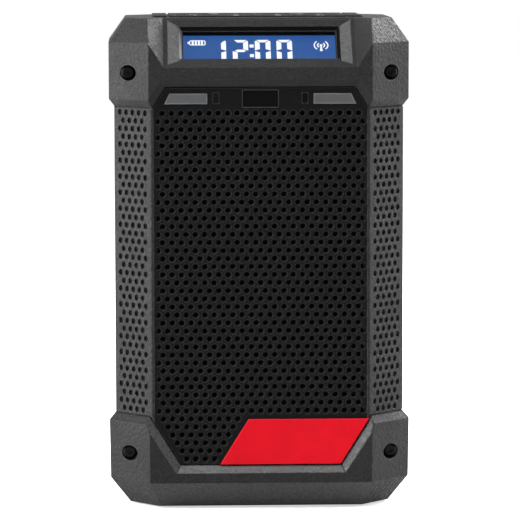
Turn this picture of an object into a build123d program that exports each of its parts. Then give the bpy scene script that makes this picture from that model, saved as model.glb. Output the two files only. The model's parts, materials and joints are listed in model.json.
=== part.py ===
from build123d import *
from math import atan, cos, degrees, radians, sin, tan
import os

# Jobsite radio with a slide-in battery pack and a built-in charger.
# Millimetres, +Z up, front towards -Y. The origin is the middle of the footprint, on the resting plane.
# Two shells clamp together front to back. A guard is screwed over each end, and the upper guard carries
# the sloping display and the key tray. The driver, the passive radiator and the boards hang inside.

os.makedirs("parts", exist_ok=True)

# ---- driving dimensions: body ----
body_width = 150.6
body_depth = 106.4
corner_run = 18.9  # how far each corner facet reaches in from the side face
corner_angle = 48.0  # corner facets, measured from the front plane
shell_wall = 2.6
shell_step = 1.0  # how far the shells are rebated under the guards
shell_fit = 0.1  # gap between neighbouring mouldings
body_height = 255.0  # to the top plane
foot_proud = 1.0
foot_radius = 7.0
foot_recess = 1.2
foot_spread_x, foot_spread_y = 44.0, 33.0
parting_y = -12.0  # where the two shells meet

# ---- driving dimensions: guards ----
guard_proud = 2.8
guard_draft = 0.5  # how much wider the lower guard gets from its chamfer up to its lip
guard_gap = 0.7  # shadow gap along the guards' edges
guard_reach = 47.8  # lower guard's height at its front corners
hood_reach = 45.7  # upper guard's height at its front corners
rear_post_reach = 34.5  # both guards' height at their rear corners
guard_cut_reach = 22.6  # lower guard's height at the middle of its front cut-out
hood_cut_reach = 34.9  # upper guard's height at the middle of its front cut-out
side_cut_reach = 24.6  # both guards' height at the middle of their side cut-outs
side_post_width = 4.5  # side face left beside each front corner post
guard_lip_height = 3.8
guard_edge_radius = 0.6
shell_edge_radius = 1.2
base_chamfer_height, base_chamfer_inset = 13.6, 10.4
top_chamfer_height, top_chamfer_inset = 12.6, 8.8
cut_lean = 32.0  # legs of the cut-outs, from the vertical
cut_post_width = 14.7  # front face beside the lower cut-out's edge
hood_cut_post_width = 7.4  # front face beside the upper cut-out's edge
cut_bevel = 4.0
floor_thick = 3.0
roof_thick = 3.5
seat_inset = 9.0  # ledge inside each guard where the shells butt

# ---- driving dimensions: display slope ----
slope_angle = 47.5  # from the vertical
slope_half_width = 50.0
slope_rise = 24.8
slope_wall = 4.6
window_width = 80.5
window_height = 22.6
bevel_depth = 1.2
bevel_side = 6.0
bevel_top = 3.7
lip_bevel_depth = 1.6
lip_bevel_width = 1.4
lining_wall = 0.6
glass_lap_x, glass_lap_y = 2.3, 1.8  # lens and glass past the window's edges
glass_clearance = 0.3
lining_flange = 1.7  # lining past the glass
board_lap = 1.5  # display board past the glass
lens_thick = 1.0
lcd_depth = 6.0  # front of the display glass below the slope
lcd_thick = 2.0
display_board_thick = 1.6
board_post_radius = 3.0
board_screw_head_radius = 2.1
board_screw_head_height = 1.3
board_screw_length = 6.0
backlight_thick = 2.4

# ---- driving dimensions: front panel ----
panel_thick = 2.2
panel_rim = 1.2  # strip of shell left showing beside the panel
panel_ledge = 1.8
panel_overlap = 3.2  # how far the guards reach over the panel
hole_pitch = 4.82
hole_radius = 1.25
hole_sink_radius = 1.9  # mouth of each hole's countersink
hole_sink_depth = 0.65
first_row_drop = 48.6  # top row of holes below the top plane
hole_side_margin = 2.15  # least distance from a hole's centre to the panel's side
edge_margin = 3.0  # least distance from a hole's centre to a cut-out's leg or to the badge
dimple_radius = 1.6  # blind holes of the corner facets
dimple_depth = 1.3
dimple_side_margin = 4.0
dimple_land = 0.3  # least strip of facet above and below the rows of dimples
lens_drop = 38.4  # top edge of the lights below the top plane
lens_height = 5.4
lens_inner_x, lens_outer_x = 27.4, 49.4
blank_width, blank_height, blank_depth = 18.2, 8.5, 0.8
badge_thick = 1.1
badge_left_top_x = -6.5
badge_height = 24.0  # from the lower cut-out's edge to the badge's top
badge_gap = 0.4
light_pipe_proud = 0.3
light_flange, light_flange_thick = 1.0, 1.4
light_board_gap, light_board_thick, light_board_margin = 0.2, 0.8, 1.6
cloth_thick = 0.5
cloth_margin = 0.4

# ---- driving dimensions: screws ----
guard_screw_inset_x = 7.3  # from the side of the body
guard_screw_inset_z = 28.0  # from each end of the body
screw_head_radius = 3.5
screw_head_height = 2.4
screw_shank_radius = 1.9
screw_socket_radius = 1.15  # to the middle of a lobe
screw_lobe_radius = 0.42
screw_socket_depth = 1.6
screw_well_radius = 4.1
screw_running_gap = 0.05
well_wall = 1.1
boss_wall = 2.2  # shell boss round each guard well
tower_wall = 1.6  # rear shell's towers round the long screws
shell_post_radius = 3.9
guard_well_depth = 5.6
shell_screw_x = 49.5
shell_screw_low_z, shell_screw_middle_z = 58.0, 132.0
shell_screw_drop = 52.0  # top pair below the top plane
shell_well_depth = 30.0
shell_screw_length = 22.0
small_screw_radius = 1.2

# ---- driving dimensions: key tray ----
tray_width = 110.4
tray_front_y = -27.0
tray_back_y = 34.0
tray_ledge = 2.0
tray_groove_x = 47.0
tray_groove_width = 1.1
tray_depth = 1.4
key_width = 18.0
key_length = 12.4
key_gap = 0.3
key_travel = 0.9
key_pitch_x = 22.4
key_pitch_y = 18.4
key_panel_proud = 0.8
key_sink = 0.2  # keys end this far below the panel's face
key_skirt_wall = 1.4
key_board_drop = 7.6
key_corner_radius = 2.4
key_post_inset, key_post_y, key_post_radius = 2.4, 20.0, 2.0
board_thick = 1.6

# ---- driving dimensions: carry handle ----
handle_axis_drop = 7.0  # pivot below the top plane
handle_axis_reach = 5.6  # pivot behind the upper guard
handle_half_width = 47.6
handle_arm_width = 6.6
handle_length = 62.0  # pivot to grip
handle_knuckle_radius = 6.4
handle_thick = 9.0
handle_edge_radius = 1.2
handle_running_gap = 0.2
handle_end_reach, handle_end_inset = 5.0, 6.0  # loop's outside and inside, past the pivot and the grip
handle_corner_radius, handle_inner_radius = 9.0, 4.0
grip_shoulder = 3.0  # loop's corners left at each end of the grip
grip_depth, grip_height, grip_corner_radius = 12.4, 12.6, 5.0
grip_groove_count, grip_groove_pitch, grip_groove_width, grip_groove_depth = 7, 9.0, 1.8, 0.6
pin_depth, pin_end_gap, pin_end_inset = 5.0, 0.5, 0.6
ear_inner_x = 48.2
ear_width = 8.2
pin_radius = 2.5
pin_running_gap = 0.05

# ---- driving dimensions: rear face ----
finger_half_width = 40.0
finger_below_grip, finger_above_grip = 26.0, 20.0
finger_depth = 16.0
finger_corner_radius = 8.0
finger_edge_radius = 1.2
vent_width, vent_height, vent_pitch, vent_count = 44.0, 2.6, 6.0, 4
vent_rise = 16.0  # lowest vent above the pack

# ---- driving dimensions: battery pack and its bay ----
pack_z = 86.0
pack_width = 56.0
pack_height = 52.0
pack_base_length = 31.0
pack_proud = 14.0
pack_corner_radius = 7.0
stem_length = 50.0
terminal_reach = 7.0
terminal_xs = (-12.0, 0.0, 12.0)
blade_thick, blade_low, blade_high = 0.8, -7.0, -2.0  # heights from the pack's middle
cap_thick = 2.4
cell_radius = 9.1
cell_length = 65.0
cell_spacing = 19.0
case_wall = 1.6
pack_gap = 0.5
dock_wall = 2.2
dock_flange = 3.0
latch_length, latch_height, latch_thick = 17.0, 26.0, 2.6
latch_travel = 1.6
grip_end_gap = 0.2
grip_core_radius = 3.6

# ---- driving dimensions: ports and inlet ----
side_port_offset = 16.0  # middle of the inlet and of the port pocket, from the pack's side
inlet_width, inlet_height, inlet_length = 15.0, 25.0, 22.0
inlet_corner_radius = 1.9
inlet_socket_radius = 4.2
inlet_pin_pitch = 8.6
inlet_pin_radius = 1.2
port_width, port_height, port_depth = 16.0, 46.0, 5.5
port_wall, port_corner_radius = 1.8, 2.0
usb_half_width, usb_half_height, usb_wall = 2.8, 6.7, 0.4
flap_thick, flap_gap, flap_tab_reach, flap_tab_half, flap_plug_length = 2.0, 0.4, 1.6, 5.0, 2.0
usb_offset, jack_offset = 9.0, -12.0
jack_bore_radius = 1.8
jack_radius = 3.6
jack_length = 13.0

# ---- driving dimensions: driver and passive radiator ----
baffle_thick = 3.0
baffle_foot_gap, baffle_head_gap, baffle_past_flat = 4.0, 2.5, 0.6
woofer_drop = 97.0  # driver's axis below the top plane
woofer_flange_radius = 41.0
woofer_opening_radius = 34.0
cone_radius = 28.5
cone_depth = 13.0
coil_radius = 10.0
coil_wall = 0.6
magnet_radius = 25.0
magnet_height = 12.0
woofer_depth = 38.0
radiator_z = 84.0
radiator_width, radiator_height = 82.0, 54.0
radiator_rim = 5.0
radiator_roll = 6.0

# ---- driving dimensions: boards ----
main_board_front_y = 12.0
main_board_half_width = 42.0
main_board_below, main_board_above = 34.0, 8.0  # past the finger recess
main_post_x = 34.0
main_post_inset_low, main_post_inset_high = 10.0, 6.0  # inside the finger recess
sink_half_width, sink_depth, sink_height = 20.0, 12.0, 16.0
sink_drop = 2.0  # below the board's top edge
sink_slot_width, sink_slot_pitch, sink_base = 2.4, 4.0, 3.0
chip_thick = 1.8
chip_size = 11.0
chip_spots = ((-24.0, 30.0), (21.0, 25.0))  # across, and above the board's lower edge
can_radius, can_height, can_rise = 4.0, 11.0, 12.0
can_xs = (-30.0, -20.0, 30.0)
power_board_z = 30.0
power_board_half_width, power_board_half_depth = 46.0, 35.0
power_post_x, power_post_y = 40.0, 29.0
transformer_x, transformer_y, transformer_height = (-22.0, 4.0), (-16.0, 12.0), 22.0
choke_x, choke_y, choke_height = (20.0, 34.0), (12.0, 26.0), 13.0
power_can_radius, power_can_height, power_can_x = 6.0, 20.0, 16.0
power_can_ys = (-22.0, -6.0)
switch_size, switch_height, plunger_radius = 6.0, 2.6, 1.6
plunger_height = 0.8

# ---- places worked out from them ----
flat_width = body_width - 2 * corner_run  # front and rear faces between the sloping corners
cut_half_width = flat_width / 2 - cut_post_width
hood_cut_half_width = flat_width / 2 - hood_cut_post_width
overall_depth = body_depth + 2 * guard_proud + handle_axis_reach + handle_knuckle_radius
guard_front_y = -overall_depth / 2
body_front_y = guard_front_y + guard_proud
body_back_y = body_front_y + body_depth
guard_back_y = body_back_y + guard_proud
body_middle_y = (body_front_y + body_back_y) / 2
base_z = foot_proud
top_z = body_height
shoulder_low_z = base_z + base_chamfer_height
shoulder_high_z = top_z - top_chamfer_height
lower_edge_z = base_z + guard_reach
upper_edge_z = top_z - hood_reach
lower_cut_z = base_z + guard_cut_reach
upper_cut_z = top_z - hood_cut_reach
shell_low_z = shoulder_low_z + 1.0
shell_high_z = shoulder_high_z - 4.0
panel_low_z = lower_cut_z - panel_overlap
panel_high_z = upper_cut_z + panel_overlap
lens_high_z = top_z - lens_drop
lens_low_z = lens_high_z - lens_height
badge_top_z = lower_cut_z + badge_height
panel_half_width = flat_width / 2 - panel_rim
panel_back_y = body_front_y + panel_thick
front_wall_back_y = panel_back_y + shell_wall
baffle_back_y = front_wall_back_y + baffle_thick
guard_screw_x = body_width / 2 - guard_screw_inset_x
guard_screw_low_z = base_z + guard_screw_inset_z
guard_screw_high_z = top_z - guard_screw_inset_z
small_screw_bore = small_screw_radius + screw_running_gap
slope_foot_z = top_z - slope_rise
slope_run = slope_rise * tan(radians(slope_angle))
half_corner = tan(radians(corner_angle / 2))
corner_tan = tan(radians(corner_angle))
lean_tan = tan(radians(cut_lean))
row_pitch = hole_pitch * cos(radians(30))
handle_axis_y = guard_back_y + handle_axis_reach
handle_axis_z = top_z - handle_axis_drop
grip_z = handle_axis_z - handle_length
finger_low_z, finger_high_z = grip_z - finger_below_grip, grip_z + finger_above_grip
shell_screw_heights = (shell_screw_low_z, shell_screw_middle_z, top_z - shell_screw_drop)
woofer_z = top_z - woofer_drop
vent_low_z = pack_z + pack_height / 2 + vent_rise
inlet_x = pack_width / 2 + side_port_offset
port_x = -inlet_x
first_row_z = top_z - first_row_drop
facet_width = (body_width - flat_width) / 2 / cos(radians(corner_angle))
pack_back_y = body_back_y + pack_proud
pack_step_y = pack_back_y - pack_base_length
stem_front_y = pack_step_y - stem_length

# slope plane: local x to the right, local y up the slope, local z out of it
slope_plane = Plane(
    origin=(0, guard_front_y + slope_run / 2, slope_foot_z + slope_rise / 2),
    x_dir=(1, 0, 0),
    z_dir=(0, -cos(radians(slope_angle)), sin(radians(slope_angle))),
)
facing_back = Plane(origin=(0, 0, 0), x_dir=(-1, 0, 0), z_dir=(0, 1, 0))
facing_front = Plane(origin=(0, 0, 0), x_dir=(1, 0, 0), z_dir=(0, -1, 0))


# ---- shared shapes ----
def slab(x_span, y_span, z_span):
    """A box between three pairs of limits."""
    size = [high - low for low, high in (x_span, y_span, z_span)]
    middle = [(low + high) / 2 for low, high in (x_span, y_span, z_span)]
    return Pos(*middle) * Box(*size)


def rod(radius, x, z, y_span):
    """A round bar along Y."""
    low, high = y_span
    return Pos(x, (low + high) / 2, z) * Rot(90, 0, 0) * Cylinder(radius, high - low)


def upright(radius, x, y, z_span):
    """A round bar along Z."""
    low, high = z_span
    return Pos(x, y, (low + high) / 2) * Cylinder(radius, high - low)


def rounded_bar(width, height, radius, x, z, y_span):
    """A bar along Y with a rounded rectangle for its section."""
    low, high = y_span
    start = Plane(origin=(x, low, z), x_dir=(1, 0, 0), z_dir=(0, 1, 0))
    return extrude(start * RectangleRounded(width, height, radius), high - low)


def polygon_face(points):
    """A flat face with straight sides."""
    return Face(Wire.make_polygon([Vector(*p) for p in points], close=True))


def frustum(low, high):
    """A solid between two polygons whose sides run parallel."""
    count = len(low)
    sides = [
        polygon_face([low[i], low[(i + 1) % count], high[(i + 1) % count], high[i]])
        for i in range(count)
    ]
    return Solid(Shell([polygon_face(low), *sides, polygon_face(high)]))


def plan(grow, z):
    """The body's eight-sided outline at height z, moved outwards by grow."""
    half_flat = flat_width / 2 + grow * half_corner
    half_width = body_width / 2 + grow
    corner_depth = (half_width - half_flat) * corner_tan
    front, back = body_front_y - grow, body_back_y + grow
    right = [
        (half_flat, front),
        (half_width, front + corner_depth),
        (half_width, back - corner_depth),
        (half_flat, back),
    ]
    left = [(-x, y) for x, y in reversed(right)]
    return [(x, y, z) for x, y in right + left]


def prism(grow, z_low, z_high):
    """The body's outline between two heights."""
    return frustum(plan(grow, z_low), plan(grow, z_high))


def tapered_prism(grow_low, z_low, grow_high, z_high):
    """As prism, with a different outline at each end."""
    return frustum(plan(grow_low, z_low), plan(grow_high, z_high))


def on_slope(x, y, depth):
    """A point given across and up the slope, and below its surface."""
    return tuple(slope_plane.from_local_coords(Vector(x, y, -depth)))


def slope_rectangle(half_width, half_height, depth):
    """A rectangle's corners, parallel to the slope."""
    signs = ((-1, -1), (1, -1), (1, 1), (-1, 1))
    return [on_slope(sx * half_width, sy * half_height, depth) for sx, sy in signs]


def slope_block(width, height, depth_low, depth_high):
    """A block parallel to the slope, between two depths below it."""
    return frustum(
        slope_rectangle(width / 2, height / 2, depth_high),
        slope_rectangle(width / 2, height / 2, depth_low),
    )


def above_slope(depth):
    """All the space above a plane at a depth below the slope."""
    reach = 200.0
    return frustum(
        slope_rectangle(reach, reach, depth),
        slope_rectangle(reach, reach, depth - reach),
    )


def mirror_x(shape):
    return mirror(shape, about=Plane.YZ)


def mirror_ends(shape):
    """The same shape at the back of the body."""
    return mirror(shape, about=Plane(origin=(0, body_middle_y, 0), z_dir=(0, 1, 0)))


def merged(shapes):
    """Several touching shapes as one solid."""
    first, *others = shapes
    return first.fuse(*others).clean() if others else first


def one(shape):
    """The largest solid of a result, as a plain solid."""
    return max(shape.solids(), key=lambda s: s.volume)


def group(shapes):
    """Separate solids kept together in one node."""
    return Compound(children=[s for shape in shapes for s in shape.solids()])


# ---- cut-outs of the guards, shared with the rebates in the shells ----
def bevelled_cut(mouth, half_at_edge, shrink=0.0):
    """A bevelled trapezoid through a guard's wall.

    The mouth plane lies in the wall's face, at the middle of the cut's edge, with its local y towards
    the open side and its local z out of the wall. Shrink leaves that much more of the wall standing.
    """
    reach = 60.0
    past_wall = 12.0
    over_mouth = 1.5
    wall = guard_proud + shell_fit
    bevel_slope = cut_bevel / wall
    leg_shift = 1 / cos(radians(cut_lean)) - lean_tan

    def corners(grow, out):
        half = half_at_edge + grow * leg_shift
        far_half = half + (reach + grow) * lean_tan
        flat = [(-half, -grow), (half, -grow), (far_half, reach), (-far_half, reach)]
        return [tuple(mouth.from_local_coords(Vector(x, y, out))) for x, y in flat]

    over_grow = (wall + over_mouth) * bevel_slope - shrink
    bevel = frustum(corners(-shrink, -wall), corners(over_grow, over_mouth))
    through = frustum(corners(-shrink, -wall - past_wall), corners(-shrink, -wall))
    return [bevel, through]


def side_cuts(lower, shrink=0.0):
    """Cut-outs in both side faces of a guard, between its corner posts."""
    up = 1 if lower else -1
    edge_z = base_z + side_cut_reach if lower else top_z - side_cut_reach
    rise = (guard_reach if lower else hood_reach) - side_cut_reach
    corner_y = body_front_y + (body_width - flat_width) / 2 * corner_tan
    half_at_edge = body_middle_y - corner_y - side_post_width - rise * lean_tan
    cuts = []
    for side in (-1, 1):
        mouth = Plane(
            origin=(side * (body_width / 2 + guard_proud), body_middle_y, edge_z),
            x_dir=(0, side * up, 0),
            z_dir=(side, 0, 0),
        )
        cuts += bevelled_cut(mouth, half_at_edge, shrink)
    return cuts


def front_cuts(lower, shrink=0.0):
    """The cut-out in a guard's front face."""
    edge_z = lower_cut_z if lower else upper_cut_z
    mouth = Plane(
        origin=(0, guard_front_y, edge_z),
        x_dir=(1, 0, 0) if lower else (-1, 0, 0),
        z_dir=(0, -1, 0),
    )
    return bevelled_cut(mouth, cut_half_width if lower else hood_cut_half_width, shrink)


def rebate(lower):
    """Layer of the shells that a guard takes up, with the shadow gap along the guard's edges."""
    wide = body_width
    gap = guard_gap
    if lower:
        front_span, rear_span = (0, lower_edge_z + gap), (0, base_z + rear_post_reach + gap)
    else:
        front_span, rear_span = (upper_edge_z - gap, top_z), (top_z - rear_post_reach - gap, top_z)
    depths = (body_front_y - 1, body_middle_y, body_back_y + 1)
    layers = []
    for z_span, y_span in ((front_span, depths[:2]), (rear_span, depths[1:])):
        ring = prism(1, *z_span) - prism(-shell_step, z_span[0] - 1, z_span[1] + 1)
        layers.append(ring & slab((-wide, wide), y_span, z_span))
    cuts = front_cuts(lower, gap) + side_cuts(lower, gap)
    return [layer.cut(*cuts) for layer in layers]


# ---- guard screws, four at the front and four at the back ----
def facet_y(x):
    """Where the front corner facet of the guards lies at a distance from the middle."""
    half_flat = flat_width / 2 + guard_proud * half_corner
    return guard_front_y + (abs(x) - half_flat) * corner_tan


well_floor_y = facet_y(guard_screw_x) + guard_well_depth
cup_floor_y = well_floor_y + 1.6
screw_end_y = cup_floor_y + 7.5
screw_spots = [
    (side * guard_screw_x, z)
    for side in (-1, 1)
    for z in (guard_screw_low_z, guard_screw_high_z)
]


def at_both_ends(make, spots):
    """A feature made at each front spot and again at the back."""
    made = [make(x, z) for x, z in spots]
    return made + [mirror_ends(shape) for shape in made]


def guard_cup(x, z):
    return rod(screw_well_radius + well_wall, x, z, (guard_front_y, cup_floor_y))


def guard_well(x, z):
    well = rod(screw_well_radius, x, z, (guard_front_y - 1, well_floor_y))
    return well + rod(screw_shank_radius + 0.3, x, z, (well_floor_y - 1, cup_floor_y + 1))


def shell_boss(x, z):
    return rod(screw_well_radius + well_wall + boss_wall, x, z, (guard_front_y, screw_end_y + 1.5))


def shell_pocket(x, z):
    pocket = rod(screw_well_radius + well_wall + 0.2, x, z, (guard_front_y - 1, cup_floor_y + shell_fit))
    return pocket + rod(screw_shank_radius + screw_running_gap, x, z, (well_floor_y, screw_end_y + 0.4))


def socket_cutter(x, z, y_span):
    """A six-lobed driver socket."""
    low, high = y_span
    start = Plane(origin=(x, low, z), x_dir=(1, 0, 0), z_dir=(0, 1, 0))
    lobes = start * PolarLocations(screw_socket_radius, 6) * Circle(screw_lobe_radius)
    return extrude(Sketch() + [start * Circle(screw_socket_radius), *lobes], high - low)


def button_screw(x, z, head_y, length):
    """A button-head screw driven towards +Y, its head seated at head_y."""
    head = rod(screw_head_radius, x, z, (head_y - screw_head_height, head_y))
    head = fillet(head.edges().group_by(Axis.Y)[0], screw_head_height * 0.45)
    shank = rod(screw_shank_radius, x, z, (head_y, head_y + length))
    face_y = head_y - screw_head_height
    return head + shank - socket_cutter(x, z, (face_y - 1, face_y + screw_socket_depth))


def guard_screws(back):
    length = screw_end_y - well_floor_y
    screws = [button_screw(x, z, well_floor_y, length) for x, z in screw_spots]
    return group([mirror_ends(s) if back else s for s in screws])


# ---- shells ----
def facet_hole_axis(column_shift):
    """Start point and direction of a hole through the right-hand corner facet."""
    middle = Vector(
        (flat_width + body_width) / 4,
        body_front_y + (body_width - flat_width) / 4 * corner_tan,
        0,
    )
    along = Vector(cos(radians(corner_angle)), sin(radians(corner_angle)), 0)
    inward = Vector(-sin(radians(corner_angle)), cos(radians(corner_angle)), 0)
    return middle + along * column_shift, inward


def facet_dimples():
    """Blind hole cutters for both front corner facets, on the rows of the front panel."""
    cutters = []
    overshoot = 1.0
    lowest_z = lower_edge_z + guard_gap + dimple_radius + dimple_land
    full_count = 1 + int((facet_width - 2 * dimple_side_margin) / hole_pitch)
    for row in range(1 + int((first_row_z - lowest_z) / row_pitch)):
        z = first_row_z - row * row_pitch
        count = full_count - row % 2
        for column in range(count):
            start, inward = facet_hole_axis((column - (count - 1) / 2) * hole_pitch)
            plane = Plane(origin=start + Vector(0, 0, z) - inward * overshoot, z_dir=inward)
            dimple = Solid.make_cylinder(dimple_radius, dimple_depth + overshoot, plane)
            cutters += [dimple, mirror_x(dimple)]
    return cutters


def shell_tube():
    """The body's tube, open at both ends, below the display slope."""
    outside = prism(0, shell_low_z, shell_high_z)
    outside = fillet(outside.edges().filter_by(Axis.Z), shell_edge_radius)
    return outside - prism(-shell_wall, shell_low_z - 1, shell_high_z + 1)


shell_top_limit = above_slope(slope_wall + 0.4)


shell_screw_spots = [(side * shell_screw_x, z) for side in (-1, 1) for z in shell_screw_heights]
shell_well_floor_y = body_back_y - shell_well_depth
shell_screw_tip_y = shell_well_floor_y - shell_screw_length
rear_boss_front_y = shell_well_floor_y - 2.0


main_board_back_y = main_board_front_y + board_thick
main_board_low_z = finger_low_z - main_board_below
main_board_high_z = finger_high_z + main_board_above
main_post_spots = [
    (sx * main_post_x, z)
    for sx in (-1, 1)
    for z in (finger_low_z + main_post_inset_low, finger_high_z - main_post_inset_high)
]
power_board_y = body_middle_y + 5.0
power_post_spots = [
    (sx * power_post_x, power_board_y + sy * power_post_y) for sx in (-1, 1) for sy in (-1, 1)
]


def front_shell():
    """Front half: perforated corner facets, and a rebated front opening for the panel."""
    wide = body_width
    front_half = slab((-wide, wide), (body_front_y - 1, parting_y), (0, top_z))
    tube = shell_tube() & front_half
    wall = slab(
        (-flat_width / 2 + 1, flat_width / 2 - 1),
        (body_front_y, front_wall_back_y),
        (shell_low_z, panel_high_z + 2.2),
    )
    bosses = [shell_boss(x, z) for x, z in screw_spots]
    posts = [
        rod(shell_post_radius, x, z, (front_wall_back_y - 0.5, rear_boss_front_y - shell_fit))
        for x, z in shell_screw_spots
    ]
    inside = prism(-0.5, shell_low_z, shell_high_z)
    body = merged([tube, wall, *[b & inside for b in bosses], *posts])
    seat = slab(
        (-panel_half_width - shell_fit, panel_half_width + shell_fit),
        (body_front_y - 1, panel_back_y),
        (panel_low_z - shell_fit, panel_high_z + shell_fit),
    )
    opening = slab(
        (-panel_half_width + panel_ledge, panel_half_width - panel_ledge),
        (panel_back_y - 1, front_wall_back_y + 1),
        (panel_low_z + panel_ledge, panel_high_z - panel_ledge),
    )
    pilots = [
        rod(screw_shank_radius + screw_running_gap, x, z, (shell_screw_tip_y - 0.5, parting_y + 40))
        for x, z in shell_screw_spots
    ]
    pockets = [shell_pocket(x, z) for x, z in screw_spots]
    upper_front = slab((-62, 62), (body_front_y - 1, front_wall_back_y + 0.2), (panel_high_z + 2.2, top_z))
    body = body.cut(seat, opening, shell_top_limit, upper_front, *pilots, *pockets)
    body = one(body).cut(*rebate(True), *rebate(False))
    return one(one(body).cut(*facet_dimples()))


def rear_shell():
    """Rear half: battery bay mouth, finger recess, port pocket, inlet cut-out and vents."""
    wide = body_width
    rear_half = slab((-wide, wide), (parting_y, body_back_y + 1), (0, top_z))
    tube = shell_tube() & rear_half
    bosses = [mirror_ends(shell_boss(x, z)) for x, z in screw_spots]
    inside = prism(-0.5, shell_low_z, shell_high_z)
    behind = body_back_y - 0.5
    towers = [
        rod(screw_well_radius + tower_wall, x, z, (rear_boss_front_y, behind)) for x, z in shell_screw_spots
    ]
    recess_floor_y = body_back_y - finger_depth
    recess_box = rounded_bar(
        2 * (finger_half_width + shell_wall),
        finger_high_z - finger_low_z + 2 * shell_wall,
        finger_corner_radius + shell_wall,
        0,
        (finger_low_z + finger_high_z) / 2,
        (recess_floor_y - shell_wall, behind),
    )
    port_floor_y = body_back_y - port_depth
    port_box = rounded_bar(
        port_width + 2 * port_wall,
        port_height + 2 * port_wall,
        port_corner_radius + port_wall,
        port_x,
        pack_z,
        (port_floor_y - port_wall, behind),
    )
    posts = [rod(board_post_radius, x, z, (main_board_back_y, recess_floor_y)) for x, z in main_post_spots]
    body = merged([tube, recess_box, port_box, *towers, *posts, *[b & inside for b in bosses]])
    recess = rounded_bar(
        2 * finger_half_width,
        finger_high_z - finger_low_z,
        finger_corner_radius,
        0,
        (finger_low_z + finger_high_z) / 2,
        (recess_floor_y, body_back_y + 1),
    )
    bay = rounded_bar(
        pack_width + 2 * (pack_gap + dock_wall + shell_fit),
        pack_height + 2 * (pack_gap + dock_wall + shell_fit),
        pack_corner_radius + pack_gap + dock_wall,
        0,
        pack_z,
        (parting_y, body_back_y + 1),
    )
    through = body_back_y + 1
    port = rounded_bar(port_width, port_height, port_corner_radius, port_x, pack_z, (port_floor_y, through))
    usb_z = pack_z + usb_offset
    usb_hole = slab(
        (port_x - usb_half_width - shell_fit, port_x + usb_half_width + shell_fit),
        (port_floor_y - port_wall - 1, body_back_y),
        (usb_z - usb_half_height - shell_fit, usb_z + usb_half_height + shell_fit),
    )
    jack_span = (port_floor_y - port_wall - 1, body_back_y)
    jack_hole = rod(jack_radius + shell_fit, port_x, pack_z + jack_offset, jack_span)
    wall_span = (body_back_y - 10, through)
    inlet = rounded_bar(
        inlet_width + 2 * shell_fit,
        inlet_height + 2 * shell_fit,
        inlet_corner_radius + shell_fit,
        inlet_x,
        pack_z,
        wall_span,
    )
    vent_radius = vent_height / 2 - 0.01
    vents = [
        rounded_bar(vent_width, vent_height, vent_radius, 0, vent_low_z + i * vent_pitch, wall_span)
        for i in range(vent_count)
    ]
    wells = [rod(screw_well_radius, x, z, (shell_well_floor_y, through)) for x, z in shell_screw_spots]
    shanks = [
        rod(screw_shank_radius + 0.3, x, z, (rear_boss_front_y - 1, shell_well_floor_y + 1))
        for x, z in shell_screw_spots
    ]
    pockets = [mirror_ends(shell_pocket(x, z)) for x, z in screw_spots]
    pilots = [
        rod(small_screw_bore, x, z, (main_board_back_y - 1, main_board_back_y + board_screw_length))
        for x, z in main_post_spots
    ]
    body = body.cut(recess, bay, port, usb_hole, jack_hole, inlet, shell_top_limit)
    body = one(one(body).cut(*vents, *wells, *shanks, *pockets, *pilots))
    body = one(body.cut(*rebate(True), *rebate(False)))
    near = 0.1
    back_edges = body.edges().filter_by_position(Axis.Y, body_back_y - near, body_back_y + near)
    rim = back_edges.filter_by_position(Axis.X, -finger_half_width - near, finger_half_width + near)
    rim = rim.filter_by_position(Axis.Z, finger_low_z - near, finger_high_z + near)
    body = body.fillet(finger_edge_radius, rim)
    return one(body)


def shell_screws():
    """Long screws that clamp the shells, driven from the back."""
    screws = []
    for x, z in shell_screw_spots:
        head_y = shell_well_floor_y
        head = rod(screw_head_radius, x, z, (head_y, head_y + screw_head_height))
        head = fillet(head.edges().group_by(Axis.Y)[-1], screw_head_height * 0.45)
        shank = rod(screw_shank_radius, x, z, (head_y - shell_screw_length, head_y))
        face_y = head_y + screw_head_height
        screws.append(head + shank - socket_cutter(x, z, (face_y - screw_socket_depth, face_y + 1)))
    return group(screws)


# ---- guards ----
def guard_half(lower, rear):
    """Outside of the front or rear half of a guard, before its cut-outs."""
    lip_grow = -shell_fit
    if lower:
        edge_z = base_z + rear_post_reach if rear else lower_edge_z
        low_lip_z = edge_z - guard_lip_height
        drafted_height = lower_edge_z - guard_lip_height - shoulder_low_z
        full_grow = guard_proud + guard_draft * (low_lip_z - shoulder_low_z) / drafted_height
        parts = [
            tapered_prism(guard_proud - base_chamfer_inset, base_z, guard_proud, shoulder_low_z),
            tapered_prism(guard_proud, shoulder_low_z, full_grow, low_lip_z),
            tapered_prism(full_grow, low_lip_z, lip_grow, edge_z),
        ]
        span = (base_z, edge_z)
    else:
        edge_z = top_z - rear_post_reach if rear else upper_edge_z
        parts = [
            tapered_prism(lip_grow, edge_z, guard_proud, edge_z + guard_lip_height),
            prism(guard_proud, edge_z + guard_lip_height, shoulder_high_z),
            tapered_prism(guard_proud, shoulder_high_z, guard_proud - top_chamfer_inset, top_z),
        ]
        span = (edge_z, top_z)
    y_span = (body_middle_y, body_back_y + 10) if rear else (body_front_y - 10, body_middle_y)
    return merged(parts) & slab((-body_width, body_width), y_span, span)


def guard_outside(lower, extra_cuts):
    """Outside of a guard, with its cut-outs and rounded edges."""
    whole = merged([guard_half(lower, False), guard_half(lower, True)])
    outer = one(whole.cut(*front_cuts(lower), *side_cuts(lower), *extra_cuts))
    return fillet(outer.edges(), guard_edge_radius)


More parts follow.
